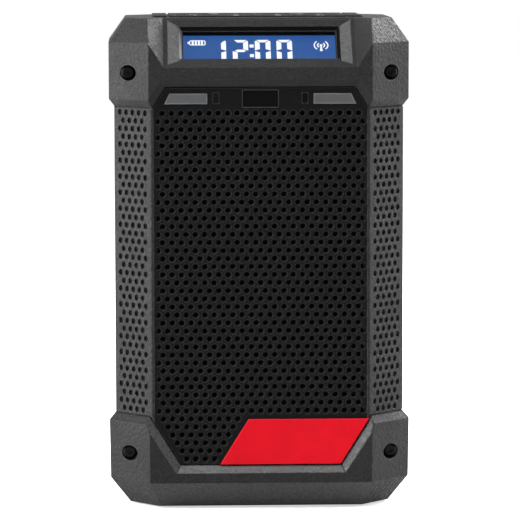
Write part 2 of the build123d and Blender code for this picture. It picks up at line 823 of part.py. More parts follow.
def bottom_guard():
    """Lower guard: a boot that the shells stand in."""
    outer = guard_outside(True, [])
    cavity = merged([
        prism(-seat_inset, base_z + floor_thick, shell_low_z),
        prism(shell_fit - shell_step, shell_low_z, lower_edge_z + 1),
    ])
    spots = [(x, z) for x, z in screw_spots if z == guard_screw_low_z]
    cups = at_both_ends(guard_cup, spots)
    posts = [upright(board_post_radius, x, y, (base_z + 1, power_board_z)) for x, y in power_post_spots]
    cup_limit = prism(guard_proud, base_z, lower_edge_z)
    body = merged([one(outer.cut(cavity)), *[c & cup_limit for c in cups], *posts])
    foot_z = (base_z - 1, base_z + foot_recess)
    feet = [upright(foot_radius + shell_fit, x, y, foot_z) for x, y in foot_spots]
    pilots = [
        upright(small_screw_bore, x, y, (power_board_z - board_screw_length, power_board_z + 1))
        for x, y in power_post_spots
    ]
    return one(body.cut(*at_both_ends(guard_well, spots), *feet, *pilots))


foot_spots = [
    (sx * foot_spread_x, body_middle_y + sy * foot_spread_y) for sx in (-1, 1) for sy in (-1, 1)
]


def rubber_feet():
    feet = []
    for x, y in foot_spots:
        foot = upright(foot_radius, x, y, (0, base_z + foot_recess))
        feet.append(chamfer(foot.edges().group_by(Axis.Z)[0], 0.6))
    return group(feet)


def display_void():
    """The space above the display slope, between the inward-facing flanks of the corner posts."""
    half_flat = flat_width / 2 + guard_proud * half_corner
    rise = shoulder_high_z - slope_foot_z
    flare = (half_flat - slope_half_width) / (rise * sin(radians(slope_angle)))
    reach = 60.0
    outline = [
        (-slope_half_width, 0),
        (slope_half_width, 0),
        (slope_half_width + flare * reach, reach),
        (-slope_half_width - flare * reach, reach),
    ]
    ends = [[on_slope(x, along, -out) for x, out in outline] for along in (-reach, reach)]
    return frustum(*ends)


def window_cutters():
    """Two bevels that step down to the display window, and the window itself."""
    half_w, half_h = window_width / 2, window_height / 2
    lip_w, lip_h = half_w + lip_bevel_width, half_h + lip_bevel_width
    outer_w, outer_h = lip_w + bevel_side, lip_h + bevel_top
    lip_depth = bevel_depth + lip_bevel_depth
    return [
        frustum(slope_rectangle(lip_w, lip_h, bevel_depth), slope_rectangle(outer_w, outer_h, 0)),
        frustum(slope_rectangle(half_w, half_h, lip_depth), slope_rectangle(lip_w, lip_h, bevel_depth)),
        frustum(slope_rectangle(half_w, half_h, slope_wall + 3), slope_rectangle(half_w, half_h, lip_depth)),
    ]


def top_guard():
    """Upper guard: hood with the display slope, the key tray opening and the handle's ears."""
    *window_bevels, window = window_cutters()
    outer = guard_outside(False, [display_void(), *window_bevels])
    cavity = merged([
        prism(shell_fit - shell_step, upper_edge_z - 1, shell_high_z + shell_fit),
        prism(-seat_inset, shell_high_z, top_z - roof_thick),
    ])
    cavity = cavity.cut(above_slope(slope_wall))
    spots = [(x, z) for x, z in screw_spots if z == guard_screw_high_z]
    cup_limit = prism(guard_proud, upper_edge_z, top_z)
    cups = [c & cup_limit for c in at_both_ends(guard_cup, spots)]
    body = merged([one(outer.cut(cavity)), *cups, handle_ear(1), handle_ear(-1)])
    tray = slab(*tray_span(0), (top_z - tray_depth, top_z + 1))
    tray_hole = slab(*tray_span(tray_ledge), (top_z - roof_thick - 1, top_z))
    pins = [handle_pin_bore(side) for side in (-1, 1)]
    return one(body.cut(window, *at_both_ends(guard_well, spots), tray, tray_hole, *pins))


# ---- carry handle ----
def along_x(radius, x_span, y, z):
    """A round bar along X."""
    low, high = x_span
    return Pos((low + high) / 2, y, z) * Rot(0, 90, 0) * Cylinder(radius, high - low)


def handle_ear(side):
    """One of the two ears that carry the handle's pins."""
    low, high = ear_inner_x, ear_inner_x + ear_width
    root_y = guard_back_y - top_chamfer_inset
    knuckle = along_x(handle_knuckle_radius, (low, high), handle_axis_y, handle_axis_z)
    web_z = (handle_axis_z - handle_knuckle_radius, handle_axis_z + handle_knuckle_radius)
    web = slab((low, high), (root_y, handle_axis_y), web_z)
    ear = knuckle + web
    return ear if side > 0 else mirror_x(ear)


def handle_pin_bore(side):
    span = (ear_inner_x - 1, ear_inner_x + ear_width + 1)
    bore = along_x(pin_radius + pin_running_gap, span, handle_axis_y, handle_axis_z)
    return bore if side > 0 else mirror_x(bore)


def carry_handle():
    """A closed loop that hangs from the ears: hinge bar, two arms and the grip's core."""
    half = handle_half_width
    middle_z = (handle_axis_z + grip_z) / 2
    arm_y = (handle_axis_y - handle_thick / 2, handle_axis_y + handle_thick / 2)
    knuckle_radius = handle_knuckle_radius - handle_running_gap
    knuckle = along_x(knuckle_radius, (-half, half), handle_axis_y, handle_axis_z)
    outside_height = handle_length + 2 * handle_end_reach
    loop = rounded_bar(2 * half, outside_height, handle_corner_radius, 0, middle_z, arm_y)
    inner_half = half - handle_arm_width
    inner_height = handle_length - 2 * handle_end_inset
    through = (arm_y[0] - 1, arm_y[1] + 1)
    opening = rounded_bar(2 * inner_half, inner_height, handle_inner_radius, 0, middle_z, through)
    frame = loop - opening
    frame = fillet(frame.edges(), handle_edge_radius)
    upper = slab((-half, half), arm_y, (handle_axis_z, handle_axis_z + outside_height))
    pin_span = (half - pin_depth - pin_end_gap, half + 1)
    bores = [along_x(pin_radius + pin_running_gap, pin_span, handle_axis_y, handle_axis_z)]
    bores.append(mirror_x(bores[0]))
    core_half = inner_half - grip_shoulder
    core = slab(
        (-core_half, core_half),
        (handle_axis_y - handle_thick, handle_axis_y + handle_thick),
        (grip_z - 2 * handle_end_inset, grip_z + 2 * handle_end_inset),
    )
    slim = along_x(grip_core_radius, (-inner_half, inner_half), handle_axis_y, grip_z)
    body = frame - upper + knuckle - core + slim
    return one(body.cut(*bores))


def grip_section(x, depth, height, radius):
    """A rounded section across the grip, at a distance from the middle."""
    start = Plane(origin=(x, handle_axis_y, grip_z), x_dir=(0, 1, 0), z_dir=(1, 0, 0))
    return start * RectangleRounded(depth, height, radius)


def handle_grip():
    """Soft sleeve moulded round the handle's core, with shallow finger grooves."""
    half = handle_half_width - handle_arm_width - grip_shoulder - grip_end_gap
    sleeve = extrude(grip_section(-half, grip_depth, grip_height, grip_corner_radius), 2 * half)
    around = 2 * grip_depth
    grooves = []
    for i in range(grip_groove_count):
        x = (i - (grip_groove_count - 1) / 2) * grip_groove_pitch - grip_groove_width / 2
        waist = grip_section(
            x,
            grip_depth - 2 * grip_groove_depth,
            grip_height - 2 * grip_groove_depth,
            grip_corner_radius - grip_groove_depth,
        )
        outside = grip_section(x, around, around, grip_corner_radius)
        grooves.append(extrude(outside, grip_groove_width) - extrude(waist, grip_groove_width))
    bore = along_x(grip_core_radius, (-half - 1, half + 1), handle_axis_y, grip_z)
    return one((sleeve - bore).cut(*grooves))


def handle_pins():
    """Shoulder pins, fixed in the ears and free in the handle."""
    pins = []
    for side in (-1, 1):
        low, high = handle_half_width - pin_depth, ear_inner_x + ear_width - pin_end_inset
        pin = along_x(pin_radius, (low, high), handle_axis_y, handle_axis_z)
        pins.append(pin if side > 0 else mirror_x(pin))
    return group(pins)


# ---- front panel and what is set into it ----
def lens_outline(grow, y):
    """Corners of the right-hand light's outline."""
    lean = (lens_high_z - lens_low_z) * lean_tan / 1.3
    low, high = lens_low_z - grow, lens_high_z + grow
    return [
        (lens_inner_x - grow, y, low),
        (lens_outer_x + grow, y, low),
        (lens_outer_x - lean + grow, y, high),
        (lens_inner_x - grow, y, high),
    ]


def badge_outline(y):
    """Corners of the plain badge plate, clear of the lower guard's cut-out."""
    right_shift = badge_gap / cos(radians(cut_lean))
    low_z = lower_cut_z + badge_gap
    right_low = cut_half_width + badge_gap * lean_tan - right_shift
    right_top = right_low + (badge_top_z - low_z) * lean_tan
    left_low = badge_left_top_x - (badge_top_z - low_z) * lean_tan
    return [
        (left_low, y, low_z),
        (right_low, y, low_z),
        (right_top, y, badge_top_z),
        (badge_left_top_x, y, badge_top_z),
    ]


def hole_allowed(x, z):
    """Whether a front hole at x, z keeps clear of the edges and of the badge."""
    leg_x = cut_half_width + (z - lower_cut_z) * lean_tan
    clear_of_leg = (leg_x - abs(x)) * cos(radians(cut_lean)) >= edge_margin
    badge_left_x = badge_left_top_x - (badge_top_z - z) * lean_tan
    beside_badge = (badge_left_x - x) * cos(radians(cut_lean)) >= edge_margin
    above_badge = z > badge_top_z + hole_sink_radius + badge_gap
    return clear_of_leg and (above_badge or beside_badge)


def front_hole_spots():
    """Centres of the front panel's holes, in staggered rows down to the lower cut-out's edge."""
    lowest_z = lower_cut_z + guard_gap + hole_sink_radius
    wide_count = 1 + 2 * int((panel_half_width - hole_side_margin) / hole_pitch)
    spots = []
    for row in range(1 + int((first_row_z - lowest_z) / row_pitch)):
        z = first_row_z - row * row_pitch
        count = wide_count - 1 + row % 2
        for column in range(count):
            x = (column - (count - 1) / 2) * hole_pitch
            if hole_allowed(x, z):
                spots.append((x, z))
    return spots


def panel_outline(y):
    """Corners of the front panel's outline."""
    corner = 3.0
    half = panel_half_width
    low, high = panel_low_z, panel_high_z
    right = [(half - corner, low), (half, low + corner), (half, high - corner), (half - corner, high)]
    left = [(-x, z) for x, z in reversed(right)]
    return [(x, y, z) for x, z in right + left]


def drilled_face(outline, y, radius, spots):
    """A flat face on the plane at y, with a round opening at each spot."""
    rim = Wire.make_polygon([Vector(*p) for p in outline], close=True)
    rings = [Wire.make_circle(radius, Plane(origin=(x, y, z), z_dir=(0, 1, 0))) for x, z in spots]
    return Face(rim, rings)


def front_panel():
    """Perforated speaker panel: every hole is countersunk, and the faces are sewn in one pass."""
    front, back = panel_outline(body_front_y), panel_outline(panel_back_y)
    sink_floor_y = body_front_y + hole_sink_depth
    spots = front_hole_spots()
    faces = [
        drilled_face(front, body_front_y, hole_sink_radius, spots),
        drilled_face(back, panel_back_y, hole_radius, spots),
    ]
    for i in range(len(front)):
        j = (i + 1) % len(front)
        faces.append(polygon_face([front[i], front[j], back[j], back[i]]))
    for x, z in spots:
        mouth = Plane(origin=(x, body_front_y, z), z_dir=(0, 1, 0))
        floor = Plane(origin=(x, sink_floor_y, z), z_dir=(0, 1, 0))
        sink = Solid.make_cone(hole_sink_radius, hole_radius, hole_sink_depth, mouth)
        bore = Solid.make_cylinder(hole_radius, panel_back_y - sink_floor_y, floor)
        faces += sink.faces().filter_by(GeomType.CONE) + bore.faces().filter_by(GeomType.CYLINDER)
    plate = Solid(Shell(faces))
    lens = frustum(lens_outline(shell_fit, panel_back_y + 1), lens_outline(shell_fit, body_front_y - 1))
    blank_z = (lens_low_z + lens_high_z) / 2
    blank = slab(
        (-blank_width / 2, blank_width / 2),
        (body_front_y - 1, body_front_y + blank_depth),
        (blank_z - blank_height / 2, blank_z + blank_height / 2),
    )
    return one(plate.cut(lens, mirror_x(lens), blank, *rebate(True), *rebate(False)))


def light_pipe(side):
    """Frosted charge light, flanged behind the panel."""
    front = body_front_y - light_pipe_proud
    back = panel_back_y + light_flange_thick
    pipe = frustum(lens_outline(0, back), lens_outline(0, front))
    flange = frustum(lens_outline(light_flange, back), lens_outline(light_flange, panel_back_y + shell_fit))
    made = one(pipe + flange)
    return made if side > 0 else mirror_x(made)


def badge_plate():
    plate = frustum(badge_outline(body_front_y), badge_outline(body_front_y - badge_thick))
    upright_edges = plate.edges().filter_by(Axis.Y)
    plate = fillet(upright_edges.sort_by(Axis.X)[1:3], 1.6)
    return chamfer(plate.faces().sort_by(Axis.Y)[0].edges(), 0.3)


def grille_cloth():
    """Thin black cloth stretched behind the perforated panel."""
    low_y = panel_back_y + shell_fit
    inset = panel_ledge + cloth_margin
    half = panel_half_width - inset
    z_span = (panel_low_z + inset, lens_low_z - light_flange - cloth_margin)
    return slab((-half, half), (low_y, low_y + cloth_thick), z_span)


def shell_seals():
    """Foam strips behind the joint between the shells."""
    outer = body_width / 2 - shell_wall - shell_fit
    spans = [(outer - 1.4, outer), (-outer, -outer + 1.4)]
    return group([slab(span, (parting_y - 3, parting_y + 3), (lower_cut_z, upper_cut_z)) for span in spans])


def light_board():
    """Strip board that carries the charge lights, behind the top of the panel."""
    low_y = panel_back_y + light_flange_thick + light_board_gap
    half = lens_outer_x + light_flange + light_board_margin
    z_span = (lens_low_z - light_flange, panel_high_z - panel_ledge - cloth_margin)
    return slab((-half, half), (low_y, low_y + light_board_thick), z_span)


# ---- display ----
def glass_block(grow, depth_low, depth_high):
    """A block that reaches past the window on every side by the glass's lap."""
    width = window_width + 2 * (glass_lap_x + grow)
    height = window_height + 2 * (glass_lap_y + grow)
    return slope_block(width, height, depth_low, depth_high)


def display_frame():
    """Black lining of the window, with a flange that holds lens and glass."""
    width, height = window_width - 2 * shell_fit, window_height - 2 * shell_fit
    start = bevel_depth + lip_bevel_depth
    end = lcd_depth + lcd_thick
    lining = slope_block(width, height, start, slope_wall + shell_fit)
    flange = glass_block(lining_flange, slope_wall + shell_fit, end)
    hollow = slope_block(width - 2 * lining_wall, height - 2 * lining_wall, start - 1, end + 1)
    seat = glass_block(glass_clearance, lcd_depth - lens_thick, end + 1)
    return one((lining + flange).cut(hollow, seat))


def display_lens():
    return glass_block(0, lcd_depth - lens_thick, lcd_depth - shell_fit / 2)


def lcd_glass():
    return glass_block(0, lcd_depth, lcd_depth + lcd_thick)


def display_board():
    """Backlight block on its board."""
    start = lcd_depth + lcd_thick + shell_fit
    middle = start + backlight_thick
    light = slope_block(window_width + 2, window_height + 2, start, middle)
    board = glass_block(board_lap, middle, middle + display_board_thick)
    return one(light + board)


# ---- key tray ----
key_rows = (
    ("preset_key_1", "preset_key_2", "preset_key_3", "preset_key_4"),
    ("volume_down_key", "volume_up_key", "tune_down_key", "tune_up_key"),
    ("power_key", "source_key"),
)
tray_middle_y = (tray_front_y + tray_back_y) / 2
key_panel_top_z = top_z + key_panel_proud
key_board_top_z = top_z - roof_thick - key_board_drop
key_switch_top_z = key_board_top_z + switch_height
key_board_half_width = tray_width / 2 - tray_ledge - key_skirt_wall - 0.6
key_post_spots = [
    (sx * (key_board_half_width - key_post_inset), tray_middle_y + sy * key_post_y)
    for sx in (-1, 1)
    for sy in (-1, 1)
]


def tray_span(inset):
    """Limits of the tray in x and y, moved inwards by inset."""
    return (
        (-tray_width / 2 + inset, tray_width / 2 - inset),
        (tray_front_y + inset, tray_back_y - inset),
    )


def key_spots():
    """Name, place and width of each key."""
    spots = []
    for row, names in enumerate(key_rows):
        y = tray_middle_y + (row - 1) * key_pitch_y
        wide = 2 if len(names) == 2 else 1
        for column, name in enumerate(names):
            x = (column - (len(names) - 1) / 2) * key_pitch_x * wide
            width = key_width + (wide - 1) * key_pitch_x * 0.6
            spots.append((name, x, y, width))
    return spots


def key_block(x, y, width, grow, z_span):
    low, high = z_span
    outline = RectangleRounded(width + 2 * grow, key_length + 2 * grow, key_corner_radius + grow)
    return extrude(Plane(origin=(x, y, low)) * outline, high - low)


def key_panel():
    """Fascia plate that stands proud of the guard, with a skirt below and posts for its board."""
    plate_low = top_z - tray_depth
    skirt_low = top_z - roof_thick
    plate = slab(*tray_span(shell_fit), (plate_low, key_panel_top_z))
    plate = fillet(plate.edges().filter_by(Axis.Z), 2.0)
    plate = chamfer(plate.faces().sort_by(Axis.Z)[-1].edges(), 0.4)
    outside = slab(*tray_span(tray_ledge + shell_fit), (skirt_low, plate_low))
    inside = slab(*tray_span(tray_ledge + shell_fit + key_skirt_wall), (skirt_low - 1, plate_low))
    posts = [upright(key_post_radius, x, y, (key_board_top_z, plate_low + 0.5)) for x, y in key_post_spots]
    body = merged([plate, one(outside - inside), *posts])
    holes = [key_block(x, y, w, key_gap, (skirt_low - 1, key_panel_top_z + 1)) for _, x, y, w in key_spots()]
    grooves = [
        slab(
            (x - tray_groove_width / 2, x + tray_groove_width / 2),
            (tray_front_y - 1, tray_back_y + 1),
            (top_z, key_panel_top_z + 1),
        )
        for x in (-tray_groove_x, tray_groove_x)
    ]
    pilots = [
        upright(small_screw_bore, x, y, (key_board_top_z - 1, key_board_top_z + 5))
        for x, y in key_post_spots
    ]
    return one(body.cut(*holes, *grooves, *pilots))


def key(x, y, width):
    """A key cap with a chamfered face and a stem down to its switch."""
    low = top_z - tray_depth + 0.2
    cap = key_block(x, y, width, 0, (low, key_panel_top_z - key_sink))
    cap = chamfer(cap.edges().group_by(Axis.Z)[-1], 0.5)
    stem = upright(2.2, x, y, (key_switch_top_z + key_travel + 0.1, low))
    return one(cap + stem)


def key_board():
    """Board under the tray with one switch for each key."""
    half = key_board_half_width
    low_z = key_board_top_z - board_thick
    board = slab((-half, half), (tray_front_y + 3, tray_back_y - 3), (low_z, key_board_top_z))
    reach = switch_size / 2
    switch_z = (key_board_top_z, key_switch_top_z - plunger_height)
    plunger_z = (key_board_top_z + 1, key_switch_top_z)
    switches = [
        slab((x - reach, x + reach), (y - reach, y + reach), switch_z) for _, x, y, _ in key_spots()
    ]
    plungers = [upright(plunger_radius, x, y, plunger_z) for _, x, y, _ in key_spots()]
    holes = [upright(small_screw_bore, x, y, (low_z - 1, key_board_top_z + 1)) for x, y in key_post_spots]
    return one(merged([board, *switches, *plungers]).cut(*holes))


# ---- driver ----
woofer_screw_circle = (woofer_opening_radius + 2 + woofer_flange_radius) / 2
woofer_screw_spots = [
    (sx * woofer_screw_circle * cos(radians(45)), woofer_z + sz * woofer_screw_circle * sin(radians(45)))
    for sx in (-1, 1)
    for sz in (-1, 1)
]
radiator_screw_spots = [
    (sx * 16.0, radiator_z + sz * (radiator_height - radiator_rim) / 2) for sx in (-1, 1) for sz in (-1, 1)
]


def driver_screw_holes(spots):
    return [
        rod(small_screw_bore, x, z, (front_wall_back_y + 0.4, baffle_back_y + 4))
        for x, z in spots
    ]


def ring_profile(points):
    """A face in the half plane beside the Y axis, from (radius, depth behind the baffle) pairs."""
    return polygon_face([(radius, baffle_back_y + depth, 0) for radius, depth in points])


def turned(points, z):
    """A solid of revolution about the driver's axis."""
    return Pos(0, 0, z) * revolve(ring_profile(points), Axis.Y, 360)


def baffle():
    """Inner wall that carries the driver and the passive radiator."""
    z_span = (panel_low_z + baffle_foot_gap, lens_low_z - baffle_head_gap)
    half = flat_width / 2 + baffle_past_flat
    through = (front_wall_back_y - 1, baffle_back_y + 1)
    plate = slab((-half, half), (front_wall_back_y, baffle_back_y), z_span)
    post_holes = [rod(shell_post_radius + 0.2, x, z, through) for x, z in shell_screw_spots]
    mouths = [rod(woofer_opening_radius, 0, woofer_z, through), radiator_bar(radiator_rim, through)]
    plate = plate.cut(*post_holes, *mouths)
    notch_radius = screw_well_radius + well_wall + boss_wall + 0.4
    notches = [rod(notch_radius, side * guard_screw_x, guard_screw_low_z, through) for side in (-1, 1)]
    return one(plate.cut(*notches, *driver_screw_holes(woofer_screw_spots + radiator_screw_spots)))


def radiator_bar(inset, y_span):
    """A stadium-shaped bar about the radiator's axis."""
    width, height = radiator_width - 2 * inset, radiator_height - 2 * inset
    return rounded_bar(width, height, height / 2 - 0.01, 0, radiator_z, y_span)


def woofer_basket():
    """Pressed frame with four windows."""
    skin = 1.4
    frame = turned(
        [
            (woofer_opening_radius - 1, 0),
            (woofer_flange_radius, 0),
            (woofer_flange_radius, 2),
            (woofer_opening_radius + 2, 2),
            (woofer_opening_radius, 6),
            (24, woofer_depth - magnet_height - 4),
            (24, woofer_depth - magnet_height),
            (coil_radius + 3.5, woofer_depth - magnet_height),
            (coil_radius + 3.5, woofer_depth - magnet_height - skin),
            (24 - skin, woofer_depth - magnet_height - skin),
            (24 - skin, woofer_depth - magnet_height - 4),
            (woofer_opening_radius - 1, 5.4),
        ],
        woofer_z,
    )
    windows = []
    for angle in (45, 135, 225, 315):
        window_y = (baffle_back_y + 8, baffle_back_y + woofer_depth - magnet_height - 5)
        window = slab((-9, 9), window_y, (15, 50))
        windows.append(Pos(0, 0, woofer_z) * Rot(0, angle, 0) * window)
    return one(frame.cut(*windows, *driver_screw_holes(woofer_screw_spots)))


def woofer_magnet():
    """Ring magnet with its back plate and pole piece."""
    start = woofer_depth - magnet_height + 0.1
    return turned(
        [
            (coil_radius + 1.2, start),
            (magnet_radius, start),
            (magnet_radius, woofer_depth + 0.1),
            (0, woofer_depth + 0.1),
            (0, start - 1.5),
            (coil_radius - 1.2, start - 1.5),
            (coil_radius - 1.2, woofer_depth - 3),
            (coil_radius + 1.2, woofer_depth - 3),
        ],
        woofer_z,
    )


def woofer_cone():
    """Paper cone with its dust cap and voice-coil former."""
    skin = 0.8
    rim_y = 3.0
    cone_end = rim_y + cone_depth
    former_end = woofer_depth - magnet_height + 4.0
    return turned(
        [
            (cone_radius, rim_y),
            (cone_radius, rim_y + skin),
            (coil_radius + coil_wall / 2, cone_end),
            (coil_radius + coil_wall / 2, former_end),
            (coil_radius - coil_wall / 2, former_end),
            (coil_radius - coil_wall / 2, cone_end - skin),
            (7.0, cone_end - 3.4),
            (0, cone_end - 4.6),
            (0, cone_end - 5.4),
            (7.4, cone_end - 4.2),
            (coil_radius + 1.0, cone_end - 1.8),
        ],
        woofer_z,
    )


def woofer_surround():
    """Half-roll rubber edge between cone and frame."""
    roll, skin = 2.2, 0.6
    middle = (cone_radius + woofer_opening_radius - 1) / 2
    outer = [(middle + roll * cos(a), 2.9 - roll * sin(a)) for a in (i * radians(180) / 8 for i in range(9))]
    inner = [
        (middle + (roll - skin) * cos(a), 2.9 - (roll - skin) * sin(a))
        for a in (i * radians(180) / 8 for i in range(8, -1, -1))
    ]
    return turned(outer + inner, woofer_z)


# ---- passive radiator ----
def radiator_frame():
    ring = radiator_bar(0, (baffle_back_y, baffle_back_y + 3)) - radiator_bar(
        radiator_rim, (baffle_back_y - 1, baffle_back_y + 4)
    )
    return one(ring.cut(*driver_screw_holes(radiator_screw_spots)))


def radiator_plate():
    """Weighted plate that moves with the air in the box."""
    inset = radiator_rim + radiator_roll
    plate = radiator_bar(inset, (baffle_back_y + 0.4, baffle_back_y + 2.0))
    weight = rod(9, 0, radiator_z, (baffle_back_y + 2.0, baffle_back_y + 5.0))
    return one(plate + weight)


def radiator_surround():
    outer = radiator_bar(radiator_rim + 0.1, (baffle_back_y + 0.8, baffle_back_y + 1.6))
    inner = radiator_bar(radiator_rim + radiator_roll - 0.1, (baffle_back_y - 1, baffle_back_y + 4))
    return one(outer - inner)


# ---- battery pack ----
cell_low_z = -cell_spacing * tan(radians(30)) / 2
cell_centres = [
    (-cell_spacing / 2, cell_low_z),
    (cell_spacing / 2, cell_low_z),
    (0, cell_spacing * cos(radians(30)) + cell_low_z),
]


def stem_bar(grow, y_span):
    """The pack's three-lobed stem as a bar along Y."""
    radius = cell_radius + case_wall + 0.3 + grow
    rods = [rod(radius, x, pack_z + z, y_span) for x, z in cell_centres]
    webs = []
    for (xa, za), (xb, zb) in zip(cell_centres, cell_centres[1:] + cell_centres[:1]):
        length = ((xb - xa) ** 2 + (zb - za) ** 2) ** 0.5
        angle = degrees(-atan((zb - za) / (xb - xa))) if xb != xa else 90
        middle_x, middle_z = (xa + xb) / 2, pack_z + (za + zb) / 2
        web = Box(length, y_span[1] - y_span[0], 2 * radius)
        webs.append(Pos(middle_x, sum(y_span) / 2, middle_z) * Rot(0, angle, 0) * web)
    return merged(rods + webs)


def terminal_bar(x, grow_x, grow_z, y_span):
    """A contact blade's section as a bar along Y, grown for the slots that it enters."""
    half = blade_thick / 2 + grow_x
    return slab((x - half, x + half), y_span, (pack_z + blade_low - grow_z, pack_z + blade_high + grow_z))


def battery_case():
    """The pack's case: stem and base in one moulding, open at the back."""
    base = rounded_bar(
        pack_width, pack_height, pack_corner_radius, 0, pack_z, (pack_step_y, pack_back_y - cap_thick - 0.1)
    )
    stem = stem_bar(0, (stem_front_y, pack_step_y + 1))
    body = merged([base, stem])
    base_hollow = rounded_bar(
        pack_width - 2 * (case_wall + latch_thick + latch_travel + 0.6),
        pack_height - 2 * case_wall,
        pack_corner_radius - case_wall,
        0,
        pack_z,
        (pack_step_y + case_wall, pack_back_y),
    )
    stem_hollow = stem_bar(-case_wall, (stem_front_y + case_wall, pack_step_y + case_wall + 1))
    slot_span = (stem_front_y - 1, stem_front_y + terminal_reach + 2)
    slots = [terminal_bar(x, 0.3, 1.0, slot_span) for x in terminal_xs]
    pockets = [latch_pocket(1), latch_pocket(-1)]
    return one(body.cut(base_hollow, stem_hollow, *slots, *pockets))


latch_y = pack_back_y - cap_thick - 1.2 - latch_length / 2


def latch_pocket(side):
    """Side pocket where a release latch slides inwards."""
    outer = pack_width / 2 + 1
    inner = pack_width / 2 - latch_thick - latch_travel - 0.3
    pocket = slab(
        (inner, outer),
        (latch_y - latch_length / 2 - 0.3, latch_y + latch_length / 2 + 0.3),
        (pack_z - latch_height / 2 - 0.3, pack_z + latch_height / 2 + 0.3),
    )
    return pocket if side > 0 else mirror_x(pocket)


def battery_latch(side):
    """Ribbed release button."""
    outer = pack_width / 2 - 0.2
    pad = slab(
        (outer - latch_thick, outer),
        (latch_y - latch_length / 2, latch_y + latch_length / 2),
        (pack_z - latch_height / 2, pack_z + latch_height / 2),
    )
    pad = fillet(pad.edges().filter_by(Axis.X), 2.0)
    grooves = [
        slab((outer - 0.6, outer + 1), (latch_y + 1.0, latch_y + latch_length / 2 + 1), (z - 0.7, z + 0.7))
        for z in [pack_z + i * 3.2 for i in range(-3, 4)]
    ]
    pad = one(pad.cut(*grooves))
    return pad if side > 0 else mirror_x(pad)


def battery_cap():
    """Plate that closes the pack, with a chamfered edge."""
    cap = rounded_bar(
        pack_width, pack_height, pack_corner_radius, 0, pack_z, (pack_back_y - cap_thick, pack_back_y)
    )
    return chamfer(cap.faces().sort_by(Axis.Y)[-1].edges(), 1.0)


def battery_cells():
    start = stem_front_y + terminal_reach + 1.6
    return group([rod(cell_radius, x, pack_z + z, (start, start + cell_length)) for x, z in cell_centres])


def battery_dock():
    """Bay liner: a mouth for the pack's base and a tunnel for its stem."""
    mouth_grow = pack_gap + dock_wall
    mouth = rounded_bar(
        pack_width + 2 * mouth_grow,
        pack_height + 2 * mouth_grow,
        pack_corner_radius + mouth_grow,
        0,
        pack_z,
        (pack_step_y - pack_gap - dock_wall, body_back_y),
    )
    flange = rounded_bar(
        pack_width + 2 * (mouth_grow + dock_flange),
        pack_height + 2 * (mouth_grow + dock_flange),
        pack_corner_radius + mouth_grow,
        0,
        pack_z,
        (body_back_y - shell_wall - 2.2, body_back_y - shell_wall - 0.1),
    )
    tunnel = stem_bar(mouth_grow, (stem_front_y - pack_gap - dock_wall, pack_step_y))
    body = merged([mouth, flange, tunnel])
    bay = rounded_bar(
        pack_width + 2 * pack_gap,
        pack_height + 2 * pack_gap,
        pack_corner_radius + pack_gap,
        0,
        pack_z,
        (pack_step_y - pack_gap, body_back_y + 1),
    )
    bore = stem_bar(pack_gap, (stem_front_y - pack_gap, pack_step_y))
    slots = [terminal_bar(x, 0.1, 0.5, (stem_front_y - 6, stem_front_y)) for x in terminal_xs]
    return one(body.cut(bay, bore, *slots))


def dock_terminals():
    """Blade contacts that reach into the stem's slots."""
    back_y = stem_front_y - pack_gap - dock_wall
    blades = [terminal_bar(x, 0, 0, (back_y - 2, stem_front_y + terminal_reach)) for x in terminal_xs]
    block = slab((-16, 16), (back_y - 5, back_y - 0.1), (pack_z - 10, pack_z + 1))
    return merged([block, *blades])


# ---- ports and inlet ----
def ac_inlet():
    """Two-pin mains inlet with a flanged face."""
    back = body_back_y + 0.8
    body_span = (body_back_y - inlet_length, back)
    body = rounded_bar(inlet_width, inlet_height, inlet_corner_radius, inlet_x, pack_z, body_span)
    flange = rounded_bar(inlet_width + 3, inlet_height + 3, 3.0, inlet_x, pack_z, (body_back_y, back))
    offset = inlet_pin_pitch / 2
    sockets = [
        rod(inlet_socket_radius, inlet_x, pack_z + sign * offset, (back - 12, back + 1)) for sign in (-1, 1)
    ]
    waist = slab((inlet_x - 3.2, inlet_x + 3.2), (back - 12, back + 1), (pack_z - offset, pack_z + offset))
    return one((body + flange).cut(*sockets, waist))


def inlet_pins():
    back = body_back_y + 0.8
    offset = inlet_pin_pitch / 2
    pins = []
    for sign in (-1, 1):
        pin = rod(inlet_pin_radius, inlet_x, pack_z + sign * offset, (back - 12, back - 2.5))
        pins.append(fillet(pin.edges().group_by(Axis.Y)[-1], 0.6))
    return group(pins)


def usb_socket():
    """Upright charging socket with its tongue."""
    z = pack_z + usb_offset
    floor_y = body_back_y - port_depth
    half_x, half_z = usb_half_width, usb_half_height
    shroud = slab((port_x - half_x, port_x + half_x), (floor_y - 12, floor_y), (z - half_z, z + half_z))
    half_x, half_z = half_x - usb_wall, half_z - usb_wall
    hollow = slab((port_x - half_x, port_x + half_x), (floor_y - 10, floor_y + 1), (z - half_z, z + half_z))
    tongue_x = (port_x + 0.2, port_x + half_x - 0.5)
    tongue = slab(tongue_x, (floor_y - 10.5, floor_y - 1), (z - half_z + 0.7, z + half_z - 0.7))
    return one(shroud - hollow + tongue)


def audio_jack():
    z = pack_z + jack_offset
    floor_y = body_back_y - port_depth
    barrel = rod(jack_radius, port_x, z, (floor_y - jack_length - 1, floor_y + 0.4))
    return one(barrel - rod(jack_bore_radius, port_x, z, (floor_y - jack_length + 0.4, floor_y + 1)))


